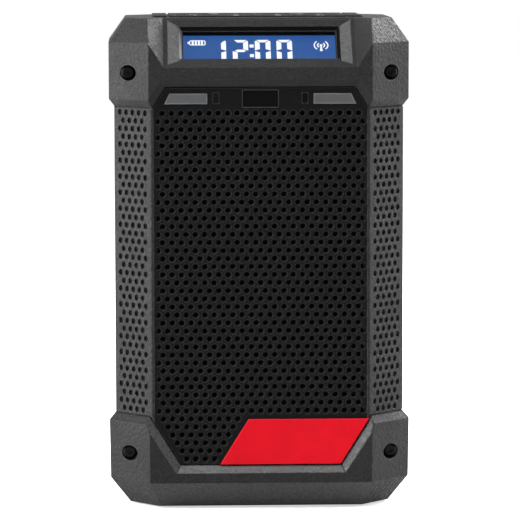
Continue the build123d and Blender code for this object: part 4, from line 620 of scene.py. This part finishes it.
def flipped(points, sx, sy):
    """The outline with its sides swapped wherever a factor is minus one."""
    return [(sx * x, sy * y) for x, y in points]


# places on the glass, from its middle: right-hand edges of the four digits, their middle, and the colon
DIGIT_EDGES = mm(-17.2, -5.7, 5.9, 17.1)
DIGIT_MIDDLE = -0.35 * MM
COLON_X = -3.9 * MM
COLON_RISE = 0.22  # of a dot above or below the middle, as a share of a digit's height
COLON_DOT = mm(2.1, 2.2)
# the signs beside the digits: middle, then width, height and bars, or scale
BATTERY_SIGN = (*mm(-32.0, 5.6, 8.6, 3.7), 4)
SIGNAL_SIGN = mm(32.2, 3.6, 2.5)
# unlit bands of the glass, above the picture and at its right: middle, width and height
BORDER_BANDS = (mm(0, 12.4, 84.6, 3.0), mm(41.4, 0, 1.8, 21.8))
MARK_GLOW = 0.95


def clock_outlines(text, sizes):
    """Outlines of a time such as 12:00."""
    outlines = []
    shape = (sizes.digit_width, sizes.digit_height, sizes.upright_stroke, sizes.level_stroke)
    for sign, edge in zip(text.replace(":", ""), DIGIT_EDGES):
        outlines += digit_outlines(sign, edge - sizes.digit_width / 2, DIGIT_MIDDLE, *shape)
    for share in (COLON_RISE, -COLON_RISE):
        outlines.append(bar(COLON_X, DIGIT_MIDDLE + share * sizes.digit_height, *COLON_DOT))
    return outlines


def battery_outlines(cx, cy, width, height, bars):
    """A lying battery sign: a rounded frame, a nub at the left and bars of charge."""
    line, nub_gap, nub_width = mm(0.55, 0.4, 0.7)
    outer_corner, inner_corner, nub_height = height * 0.32, height * 0.2, height * 0.42
    outer = rounded_outline(cx, cy, width, height, outer_corner)
    inner = rounded_outline(cx, cy, width - 2 * line, height - 2 * line, inner_corner)
    nub = bar(cx - width / 2 - nub_gap, cy, nub_width, nub_height)
    plates = ring_outlines(outer, inner) + [nub]
    span = width - 4 * line
    bar_width, bar_height = span / bars * 0.66, height - 2.1 * line
    for i in range(bars):
        x = cx - span / 2 + (i + 0.5) * span / bars
        plates.append(bar(x, cy, bar_width, bar_height))
    return plates


def ring_outlines(outer, inner):
    """The band between two outlines that have as many points, as four-sided plates."""
    count = len(outer)
    return [
        [outer[i], outer[(i + 1) % count], inner[(i + 1) % count], inner[i]] for i in range(count)
    ]


def signal_outlines(cx, cy, scale):
    """A mast with a dot at its tip and waves on both sides."""
    stroke, half_angle, waves = 0.26 * scale, 52, (0.72, 1.42)
    dot_radius, tip, foot, height = 0.3 * scale, 0.12 * scale, 0.3 * scale, 1.7 * scale
    outlines = [
        arc_outline(cx, cy, reach * scale, stroke, turn - half_angle, turn + half_angle)
        for reach in waves
        for turn in (0, 180)
    ]
    turns = [i * math.tau / 12 for i in range(12)]
    dot = [(cx + dot_radius * math.cos(a), cy + dot_radius * math.sin(a)) for a in turns]
    mast = [(cx - tip, cy), (cx + tip, cy), (cx + foot, cy - height), (cx - foot, cy - height)]
    return outlines + [dot, mast]


# ---- operators ----
made = {}


class RADIO_OT_finishes(bpy.types.Operator):
    """Give every part of the radio the finish of its material slot"""

    bl_idname = "radio.finishes"
    bl_label = "Finish the parts"

    def execute(self, context):
        scene = context.scene
        made.update(make_finishes(scene.radio_colours, scene.radio_sizes))
        for subpart in frame["record"]["subparts"]:
            mesh = mesh_of(subpart["node"])
            mesh.materials.clear()
            mesh.materials.append(made[subpart["material_slot"]])
        return {"FINISHED"}


class RADIO_OT_display(bpy.types.Operator):
    """Light the clock display and draw its digits and signs"""

    bl_idname = "radio.display"
    bl_label = "Draw the display"

    def execute(self, context):
        sizes, colours = context.scene.radio_sizes, context.scene.radio_colours
        place = face_frame("lcd_glass") @ Matrix.Translation((0, 0, LIFT))
        thick = sizes.mark_thickness
        lit = lit_mark("lit_mark", colours.display_mark, MARK_GLOW)
        signs = {
            "clock_digits": clock_outlines("12:00", sizes),
            "display_battery_sign": battery_outlines(*BATTERY_SIGN),
            "display_signal_sign": signal_outlines(*SIGNAL_SIGN),
        }
        for name, outlines in signs.items():
            new_plates(name, place, outlines, thick, lit, "display_glass")
        edge = unlit_glass("display_border", colours.display_border)
        made["display_border"] = edge
        bands = [bar(*band) for band in BORDER_BANDS]
        new_plates("display_border", place, bands, thick, edge, "display_glass")
        return {"FINISHED"}


# the window, measured on the hood's slope: half width, half height and depth of the lip's two edges
LIP_OUTER = mm(41.65, 12.7, 1.2)
LIP_INNER = mm(40.25, 11.3, 2.8)
WALL_DEPTH = 4.5 * MM
GLASS_DEPTH = 6.0 * MM
# section of the sill below the window: up the slope, and outwards from the slope
SILL_FOOT = -LIP_OUTER[1] - 0.5 * MM
SILL_NOSE = -LIP_INNER[1] + 0.35 * MM
SILL_SECTION = (
    (SILL_FOOT, -1.02 * MM), (SILL_NOSE - 0.25 * MM, -0.95 * MM), (SILL_NOSE, -1.2 * MM),
    (SILL_NOSE, -LIP_INNER[2]), (-LIP_INNER[1] - 0.1 * MM, -LIP_INNER[2]), (SILL_FOOT, -1.3 * MM),
)
SILL_REACH = LIP_OUTER[0] - 0.5 * MM
# the paler grey of the left lip, a painted highlight where it faces the light
LIP_HIGHLIGHT_GREY = (0.07, 0.07, 0.072)
TRIM_EDGE = 0.1 * MM


def lay_skins(place, faces):
    """A mesh maker for thin skins over four-cornered faces, given as across, up the slope and below it."""

    def fill(bm):
        for corners in faces:
            points = [place @ Vector((x, y, -depth)) for x, y, depth in corners]
            normal = (points[1] - points[0]).cross(points[3] - points[0]).normalized()
            low = [bm.verts.new(p + normal * LIFT) for p in points]
            high = [bm.verts.new(p + normal * (LIFT + SKIN_THICKNESS)) for p in points]
            close_rings(bm, low, high)

    return fill


def lay_sill(place):
    """A mesh maker for the sill, its section drawn from one end of the window to the other."""

    def fill(bm):
        ends = [
            [bm.verts.new(place @ Vector((x, y, z))) for y, z in SILL_SECTION]
            for x in (-SILL_REACH, SILL_REACH)
        ]
        close_rings(bm, ends[1], ends[0])

    return fill


def lip_corners(side):
    """Corners of the window's lip along one side, seen from outside and counter-clockwise."""
    (ox, oy, od), (ix, iy, idepth) = LIP_OUTER, LIP_INNER
    return {
        "top": [(-ix, iy, idepth), (ix, iy, idepth), (ox, oy, od), (-ox, oy, od)],
        "left": [(-ox, -oy, od), (-ix, -iy, idepth), (-ix, iy, idepth), (-ox, oy, od)],
        "right": [(ix, -iy, idepth), (ox, -oy, od), (ox, oy, od), (ix, iy, idepth)],
    }[side]


class RADIO_OT_window_trim(bpy.types.Operator):
    """Line the display window: black painted shade on the top lip, a paler painted highlight on the left
    lip, black painted shade on the right lip, a dark lining and a sill below
    """

    bl_idname = "radio.window_trim"
    bl_label = "Trim the window"

    def execute(self, context):
        colours = context.scene.radio_colours
        place = face_frame("lcd_glass") @ Matrix.Translation((0, 0, GLASS_DEPTH))
        # black painted shade: the top lip stands for the shaded underside of the window's top wall, and the
        # right lip faces away from the light
        black = gloss_plastic("gasket_black", colours.sign_black, TRIM_EDGE, (0.5, 0.6), 0.0, specular=0.02)
        lit_lip_finish = gloss_plastic("polished_lip", LIP_HIGHLIGHT_GREY, TRIM_EDGE, (0.3, 0.36), 0.0, specular=0.5)
        edge = made["display_border"]
        (wx, wy, wd), deep = LIP_INNER, WALL_DEPTH
        upper_wall = [(-wx, wy, deep), (wx, wy, deep), (wx, wy, wd), (-wx, wy, wd)]
        right_wall = [(wx, -wy, deep), (wx, -wy, wd), (wx, wy, wd), (wx, wy, deep)]
        skins = {
            "window_gasket": (black, [lip_corners("top")]),
            "window_lip_left": (lit_lip_finish, [lip_corners("left")]),
            "window_lip_right": (black, [lip_corners("right")]),
            "window_lining": (edge, [upper_wall, right_wall]),
        }
        for name, (material, faces) in skins.items():
            new_piece(name, lay_skins(place, faces), material, "panel_plastic")
        new_piece("window_sill", lay_sill(place), made["housing_plastic"], "housing_plastic")
        return {"FINISHED"}


# where the faces look that get a finish of their own, smoother and with a paler colour that paints the light
# they catch: beside and under the speaker panel, at the foot of the lower guard, and beside the window
RIM_DIRECTIONS = ((-0.5, -0.81, 0.31), (0.5, -0.81, 0.31), (0.0, -0.81, 0.59))
FOOT_DIRECTIONS = ((0.0, -0.79, -0.61),)
HOOD_DIRECTIONS = ((0.2, -0.66, 0.72), (-0.2, -0.66, 0.72))
SAME_WAY = 0.995  # least cosine between a face's normal and the direction asked for
WELD = 0.001 * MM


def skin_faces(node, directions):
    """A mesh maker for a thin skin on a node's faces that look in the given directions, inside its box."""
    mesh = mesh_of(node)
    wanted = [Vector(direction).normalized() for direction in directions]
    low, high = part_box(node)

    def fill(bm):
        bm.from_mesh(mesh)
        other = [face for face in bm.faces if max(face.normal.dot(d) for d in wanted) < SAME_WAY]
        bmesh.ops.delete(bm, geom=other, context="FACES")
        bmesh.ops.remove_doubles(bm, verts=bm.verts[:], dist=WELD)
        for vert in bm.verts:
            vert.co += vert.normal * LIFT
        normals = {tuple(vert.co): vert.normal.copy() for vert in bm.verts}
        raised = bmesh.ops.extrude_face_region(bm, geom=bm.faces[:])["geom"]
        for vert in raised:
            if isinstance(vert, bmesh.types.BMVert):
                vert.co += normals[tuple(vert.co)] * SKIN_THICKNESS
        for vert in bm.verts:
            for axis in range(3):
                vert.co[axis] = min(max(vert.co[axis], low[axis]), high[axis])

    return fill


class RADIO_OT_guard_skins(bpy.types.Operator):
    """Give the guards' bevels a smoother finish, and a paler colour that paints the light these faces catch
    """

    bl_idname = "radio.guard_skins"
    bl_label = "Finish the guards' bevels"

    def execute(self, context):
        colour, sizes = context.scene.radio_colours.housing, context.scene.radio_sizes
        grain, edge = sizes.grain, sizes.edge_round
        # the bevels' paler colour is a painted highlight on the faces that look towards the lamps
        rim = moulded_plastic(
            "rim_plastic", tone(colour, 2.0), grain, edge,
            roughness=(0.38, 0.46), relief=0.3, specular=0.38, wear=0.6,
        )
        # the foot's paler colour is painted light on the faces that look down
        smooth = moulded_plastic(
            "smooth_plastic", tone(colour, 1.8), grain, edge,
            roughness=(0.44, 0.52), relief=0.06, specular=0.18, wear=0.8, rough_speckle=0.03,
        )
        skins = (
            ("guard_rim", "bottom_guard", rim, RIM_DIRECTIONS),
            ("guard_foot", "bottom_guard", smooth, FOOT_DIRECTIONS),
            ("hood_bevel", "top_guard", rim, HOOD_DIRECTIONS),
        )
        for name, node, material, directions in skins:
            new_piece(name, skin_faces(node, directions), material, "housing_plastic")
        return {"FINISHED"}


class RADIO_OT_key_marks(bpy.types.Operator):
    """Print plain signs on the keys"""

    bl_idname = "radio.key_marks"
    bl_label = "Mark the keys"

    def execute(self, context):
        sizes, colours = context.scene.radio_sizes, context.scene.radio_colours
        ink = printed_mark("key_ink", colours.key_mark)
        for node, outlines in key_signs().items():
            low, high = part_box(node)
            place = Matrix.Translation(((low.x + high.x) / 2, (low.y + high.y) / 2, high.z))
            new_plates(node + "_sign", place, outlines, sizes.mark_thickness, ink, "key_rubber", node)
        return {"FINISHED"}


def key_signs():
    """Outlines of the sign on each key, centred on the key."""
    line, arm = mm(0.7, 4.4)
    ring_radius, ring_start, ring_end = 2.3 * MM, 120, 420
    stem_middle, stem_height = mm(1.9, 2.6)
    waves_middle, wave_radii, wave_angle = -0.6 * MM, mm(2.0, 3.6), 50
    horn = mm(-2.6, 0, 1.8, 2.2)
    tip, back, half = mm(1.9, 1.3, 2.0)
    preset = mm(3.0, 5.0, 0.75, 0.7)
    power = [
        arc_outline(0, 0, ring_radius, line, ring_start, ring_end),
        bar(0, stem_middle, line, stem_height),
    ]
    source = [arc_outline(waves_middle, 0, r, line, -wave_angle, wave_angle) for r in wave_radii]
    source.append(bar(*horn))
    left = [[(-tip, 0), (back, -half), (back, half)]]
    right = [[(tip, 0), (-back, half), (-back, -half)]]
    signs = {
        "power_key": power,
        "source_key": source,
        "volume_down_key": [bar(0, 0, arm, line)],
        "volume_up_key": [bar(0, 0, arm, line), bar(0, 0, line, arm)],
        "tune_down_key": left,
        "tune_up_key": right,
    }
    for number in "1234":
        signs[f"preset_key_{number}"] = digit_outlines(number, 0, 0, *preset)
    return signs


def front_outline(node):
    """Corners of a node's foremost flat face, as seen from the front, and its depth."""
    vertices = mesh_of(node).vertices
    flatness, digits = 0.02 * MM, 6
    front_y = min(v.co.y for v in vertices)
    foremost = [v.co for v in vertices if v.co.y < front_y + flatness]
    points = {(round(c.x, digits), round(c.z, digits)) for c in foremost}
    cx = sum(x for x, _ in points) / len(points)
    cz = sum(z for _, z in points) / len(points)
    return sorted(points, key=lambda p: math.atan2(p[1] - cz, p[0] - cx)), front_y


def inset(points, distance):
    """A convex counter-clockwise outline moved inwards."""
    parallel = 1e-6
    lines = []
    count = len(points)
    for i in range(count):
        start, end = Vector(points[i]), Vector(points[(i + 1) % count])
        along = (end - start).normalized()
        lines.append((start + Vector((-along.y, along.x)) * distance, along))
    moved = []
    for (a, u), (b, v) in zip(lines[-1:] + lines[:-1], lines):
        cross = u.x * v.y - u.y * v.x
        if abs(cross) < parallel:
            moved.append(tuple(b))
            continue
        t = ((b.x - a.x) * v.y - (b.y - a.y) * v.x) / cross
        moved.append(tuple(a + u * t))
    return moved


FACING_FRONT = Matrix.Rotation(math.pi / 2, 4, "X")  # stands a plate up, its face to the front
# the paler rim round each charge light is a painted highlight on the light's rounded edge
LIGHT_RIM = mm(0.05, 0.55)  # from the charge light's edge to the rim's two edges
LIGHT_RIM_HEIGHT = 0.14 * MM
RIM_HIGHLIGHT_SHARE = 1.7


class RADIO_OT_light_rims(bpy.types.Operator):
    """Raise a paler rim along the edge of each charge light, a painted highlight on its rounded edge"""

    bl_idname = "radio.light_rims"
    bl_label = "Rim the charge lights"

    def execute(self, context):
        colours = context.scene.radio_colours
        pale = frosted_plastic("light_rim", tone(colours.light_pipe, RIM_HIGHLIGHT_SHARE))
        for node in ("light_pipe_left", "light_pipe_right"):
            points, front_y = front_outline(node)
            rim = ring_outlines(*[inset(points, distance) for distance in LIGHT_RIM])
            place = Matrix.Translation((0, front_y + ROOT, 0)) @ FACING_FRONT
            new_plates(node + "_rim", place, rim, LIGHT_RIM_HEIGHT, pale, "frosted_plastic")
        return {"FINISHED"}


# the signs beside the charge lights, and how far their middle is above the lights'
CHARGING_SIGN_X, CHARGE_SIGN_X = mm(-22.9, 23.0)
SIGN_RISE = 0.3 * MM
SIGN_HEIGHT, SIGN_RIM_HEIGHT = mm(0.05, 0.22)
# the plain inlay of the pocket between the lights, and the rim round it, which paints a highlight on the
# pocket's edge in the housing's paler plastic: what it adds to the size
INLAY_HEIGHT, INLAY_CORNER = mm(0.3, 0.5)
BLANK_RIM_OUTER, BLANK_RIM_INNER = mm(0.9, 0.1)
BLANK_RIM_HEIGHT, BLANK_RIM_CORNER = mm(0.18, 0.8)


class RADIO_OT_charge_marks(bpy.types.Operator):
    """Emboss the signs beside the charge lights and the blank plate between them"""

    bl_idname = "radio.charge_marks"
    bl_label = "Mark the charge lights"

    def execute(self, context):
        colours = context.scene.radio_colours
        black = gloss_plastic(
            "sign_black", colours.sign_black, 0.2 * MM, roughness=(0.45, 0.6), wear=0.1, specular=0.02
        )
        face_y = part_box("front_panel")[0].y + ROOT
        low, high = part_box("light_pipe_left")
        middle_z = (low.z + high.z) / 2 + SIGN_RISE
        signs = {
            "charging_sign": (CHARGING_SIGN_X, charging_sign()),
            "charge_sign": (CHARGE_SIGN_X, charge_sign()),
        }
        for name, (x, (black_plates, rim_plates)) in signs.items():
            place = Matrix.Translation((x, face_y, middle_z)) @ FACING_FRONT
            new_plates(name, place, black_plates, SIGN_HEIGHT, black, "panel_plastic")
            new_plates(
                name + "_rim", place, rim_plates, SIGN_RIM_HEIGHT, made["panel_plastic"], "panel_plastic"
            )
        middle, width, height = blank_plate_box()
        place = Matrix.Translation(middle) @ FACING_FRONT
        inlay = [rounded_outline(0, 0, width, height, INLAY_CORNER)]
        new_plates("blank_inlay", place, inlay, INLAY_HEIGHT, black, "panel_plastic")
        place = Matrix.Translation((middle.x, face_y, middle.z)) @ FACING_FRONT
        # the rim is a painted highlight: the housing's paler plastic round the pocket's edge
        outer = rounded_outline(0, 0, width + BLANK_RIM_OUTER, height + BLANK_RIM_OUTER, BLANK_RIM_CORNER)
        inner = rounded_outline(0, 0, width + BLANK_RIM_INNER, height + BLANK_RIM_INNER, INLAY_CORNER)
        rim = ring_outlines(outer, inner)
        new_plates("blank_rim", place, rim, BLANK_RIM_HEIGHT, made["housing_plastic"], "panel_plastic")
        return {"FINISHED"}


def blank_plate_box():
    """Middle, width and height of the floor of the shallow pocket between the charge lights."""
    facing = 0.99
    shallow, deep, half_reach, below_lights = mm(0.3, 1.2, 12, 5)
    mesh = mesh_of("front_panel")
    front_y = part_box("front_panel")[0].y
    lowest_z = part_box("light_pipe_left")[0].z - below_lights
    floors = [
        polygon
        for polygon in mesh.polygons
        if polygon.normal.y < -facing
        and shallow < polygon.center.y - front_y < deep
        and abs(polygon.center.x) < half_reach
        and polygon.center.z > lowest_z
    ]
    corners = [mesh.vertices[i].co for polygon in floors for i in polygon.vertices]
    low = Vector(min(c[k] for c in corners) for k in range(3))
    high = Vector(max(c[k] for c in corners) for k in range(3))
    return (low + high) / 2, high.x - low.x, high.z - low.z


def standing_frame(width, height, line):
    """The rim of a standing battery sign."""
    outer_corner, inner_corner = mm(0.7, 0.4)
    outer = rounded_outline(0, 0, width, height, outer_corner)
    inner = rounded_outline(0, 0, width - 2 * line, height - 2 * line, inner_corner)
    return ring_outlines(outer, inner)


def standing_nub(width):
    """The nub on top of a standing battery sign."""
    middle, height = mm(2.9, 0.7)
    return bar(0, middle, width, height)


def charge_sign():
    """A full standing battery: a black body and nub with a raised rim."""
    body = rounded_outline(*mm(0, 0, 2.6, 5.0, 0.4))
    return [body, standing_nub(1.1 * MM)], standing_frame(*mm(3.7, 6.0, 0.5))


def charging_sign():
    """A standing battery with a bolt: black foot, nub, shoulders and bolt with a raised rim."""
    foot = rounded_outline(*mm(0, -2.2, 2.8, 1.0, 0.3))
    shoulders = [bar(*mm(side * 1.1, 2.1, 0.9, 0.7)) for side in (-1, 1)]
    bolt = [mm(-0.2, -1.5), mm(0.9, 0.5), mm(0.15, 0.4), mm(0.35, 1.7), mm(-0.9, -0.3), mm(-0.15, -0.2)]
    plates = [foot, standing_nub(1.0 * MM), *shoulders, bolt]
    return plates, standing_frame(*mm(3.9, 6.0, 0.45))


# the lamps: name, the setting that holds its power, place, width and height
LAMPS = (
    ("right_lamp", "right_power", (1.30, 0.15, 0.22), 0.4, 1.1),
    ("left_lamp", "left_power", (-1.30, 0.15, 0.14), 0.4, 1.1),
    ("rim_lamp", "rim_power", (0.95, 0.70, 0.90), 0.6, 0.6),
    ("high_lamp", "high_power", (-1.05, -0.42, 0.78), 0.5, 0.6),
    ("top_lamp", "top_power", (0.0, -0.50, 1.35), 1.0, 0.8),
    ("front_lamp", "front_power", (0.1, -1.7, 0.9), 0.8, 0.6),
)
LAMP_TARGET = Vector((0.0, 0.0, 0.13))
SENSOR_WIDTH = 36.0
VIEW_DEPTH = 20.0
FLOOR_HALF, FLOOR_CELLS = 6.0, 8
# the floor's own glow fades towards the object, which lets its shadow show
GLOW_DISTANCES = (0.12, 0.45)
GLOW_LEVELS = (0.58, 1.0)


class RADIO_OT_studio(bpy.types.Operator):
    """Lay the floor, hang the lamps and set the camera"""

    bl_idname = "radio.studio"
    bl_label = "Set up the studio"

    def execute(self, context):
        scene = context.scene
        studio, colours = scene.radio_studio, scene.radio_colours
        lay_floor(colours.floor)
        light_world(scene, studio.sky)
        for name, power, *shape in LAMPS:
            hang_lamp(name, getattr(studio, power), *shape)
        camera = bpy.data.objects.new("camera", bpy.data.cameras.new("camera"))
        scene.collection.objects.link(camera)
        camera.data.lens = studio.lens
        camera.data.sensor_width = SENSOR_WIDTH
        camera.data.clip_end = VIEW_DEPTH
        camera.location = (studio.camera_side, BODY_FRONT_Y - studio.camera_distance, studio.camera_height)
        yaw = math.atan2(studio.aim_x - studio.camera_side, studio.camera_distance)
        turn = Matrix.Rotation(-yaw, 4, "Z") @ Matrix.Rotation(math.pi / 2 - studio.aim_drop, 4, "X")
        camera.rotation_euler = (turn @ Matrix.Rotation(-studio.roll, 4, "Z")).to_euler()
        scene.camera = camera
        scene.view_settings.view_transform = "Standard"
        return {"FINISHED"}


def lay_floor(colour):
    """A wide pale floor that looks white to the camera but for the shadow beside the object."""
    mesh = bpy.data.meshes.new("floor")
    bm = bmesh.new()
    bmesh.ops.create_grid(bm, x_segments=FLOOR_CELLS, y_segments=FLOOR_CELLS, size=FLOOR_HALF)
    bm.to_mesh(mesh)
    bm.free()
    floor = bpy.data.objects.new("floor", mesh)
    bpy.context.scene.collection.objects.link(floor)
    finish = Finish("floor_paint", colour, 0.9, specular=0.05)
    finish.vary_roughness(50 * MM, 0.85, 0.95)
    distance = finish.add("ShaderNodeVectorMath")
    distance.operation = "LENGTH"
    finish.join(finish.place, distance.inputs[0])
    lift = finish.remap(distance.outputs["Value"], *GLOW_DISTANCES, *GLOW_LEVELS)
    seen = background_rays(finish.tree)
    finish.give(Emission_Color=WHITE, Emission_Strength=finish.combine("MULTIPLY", seen, lift))
    mesh.materials.append(finish.done())


def background_rays(tree):
    """A value of one for camera, glossy and transmission rays."""
    path = tree.nodes.new("ShaderNodeLightPath")
    total = path.outputs["Is Camera Ray"]
    for name in ("Is Glossy Ray", "Is Transmission Ray"):
        node = tree.nodes.new("ShaderNodeMath")
        node.operation = "MAXIMUM"
        tree.links.new(total, node.inputs[0])
        tree.links.new(path.outputs[name], node.inputs[1])
        total = node.outputs["Value"]
    return total


def light_world(scene, strength):
    """White where it is seen, and an even soft light elsewhere."""
    world = bpy.data.worlds.new("studio")
    scene.world = world
    world.use_nodes = True
    tree = world.node_tree
    background = tree.nodes["Background"]
    background.inputs["Color"].default_value = (*WHITE, 1.0)
    node = tree.nodes.new("ShaderNodeMapRange")
    node.inputs["To Min"].default_value = strength
    node.inputs["To Max"].default_value = 1.0
    tree.links.new(background_rays(tree), node.inputs["Value"])
    tree.links.new(node.outputs["Result"], background.inputs["Strength"])


def hang_lamp(name, power, place, width, height):
    """A rectangular soft lamp aimed at the object."""
    light = bpy.data.lights.new(name, "AREA")
    light.shape = "RECTANGLE"
    light.size, light.size_y = width, height
    light.energy = power
    lamp = bpy.data.objects.new(name, light)
    lamp.location = place
    lamp.rotation_euler = (LAMP_TARGET - Vector(place)).to_track_quat("-Z", "Y").to_euler()
    bpy.context.scene.collection.objects.link(lamp)


class RADIO_PT_panel(bpy.types.Panel):
    """Sizes, colours and steps of the radio"""

    bl_label = "Jobsite radio"
    bl_idname = "RADIO_PT_panel"
    bl_space_type = "VIEW_3D"
    bl_region_type = "UI"
    bl_category = "Radio"

    def draw(self, context):
        layout = self.layout
        for step in STEPS:
            layout.operator(step.bl_idname)
        for group in (context.scene.radio_colours, context.scene.radio_sizes, context.scene.radio_studio):
            box = layout.box()
            for name in group.bl_rna.properties.keys():
                if name not in ("rna_type", "name"):
                    box.prop(group, name)


STEPS = (
    RADIO_OT_finishes,
    RADIO_OT_display,
    RADIO_OT_window_trim,
    RADIO_OT_guard_skins,
    RADIO_OT_key_marks,
    RADIO_OT_light_rims,
    RADIO_OT_charge_marks,
    RADIO_OT_studio,
)
CLASSES = (RadioColours, RadioSizes, RadioStudio, *STEPS, RADIO_PT_panel)


def register():
    for cls in CLASSES:
        bpy.utils.register_class(cls)
    bpy.types.Scene.radio_colours = PointerProperty(type=RadioColours)
    bpy.types.Scene.radio_sizes = PointerProperty(type=RadioSizes)
    bpy.types.Scene.radio_studio = PointerProperty(type=RadioStudio)


def unregister():
    del bpy.types.Scene.radio_studio
    del bpy.types.Scene.radio_sizes
    del bpy.types.Scene.radio_colours
    for cls in reversed(CLASSES):
        bpy.utils.unregister_class(cls)


def run_step(step):
    """Calls an operator by its name and stops if it didn't finish."""
    group, name = step.bl_idname.split(".")
    if getattr(getattr(bpy.ops, group), name)() != {"FINISHED"}:
        raise RuntimeError(f"{step.bl_idname} did not finish")


def main():
    """Runs every step."""
    register()
    for step in STEPS:
        run_step(step)


if __name__ == "__main__":
    main()
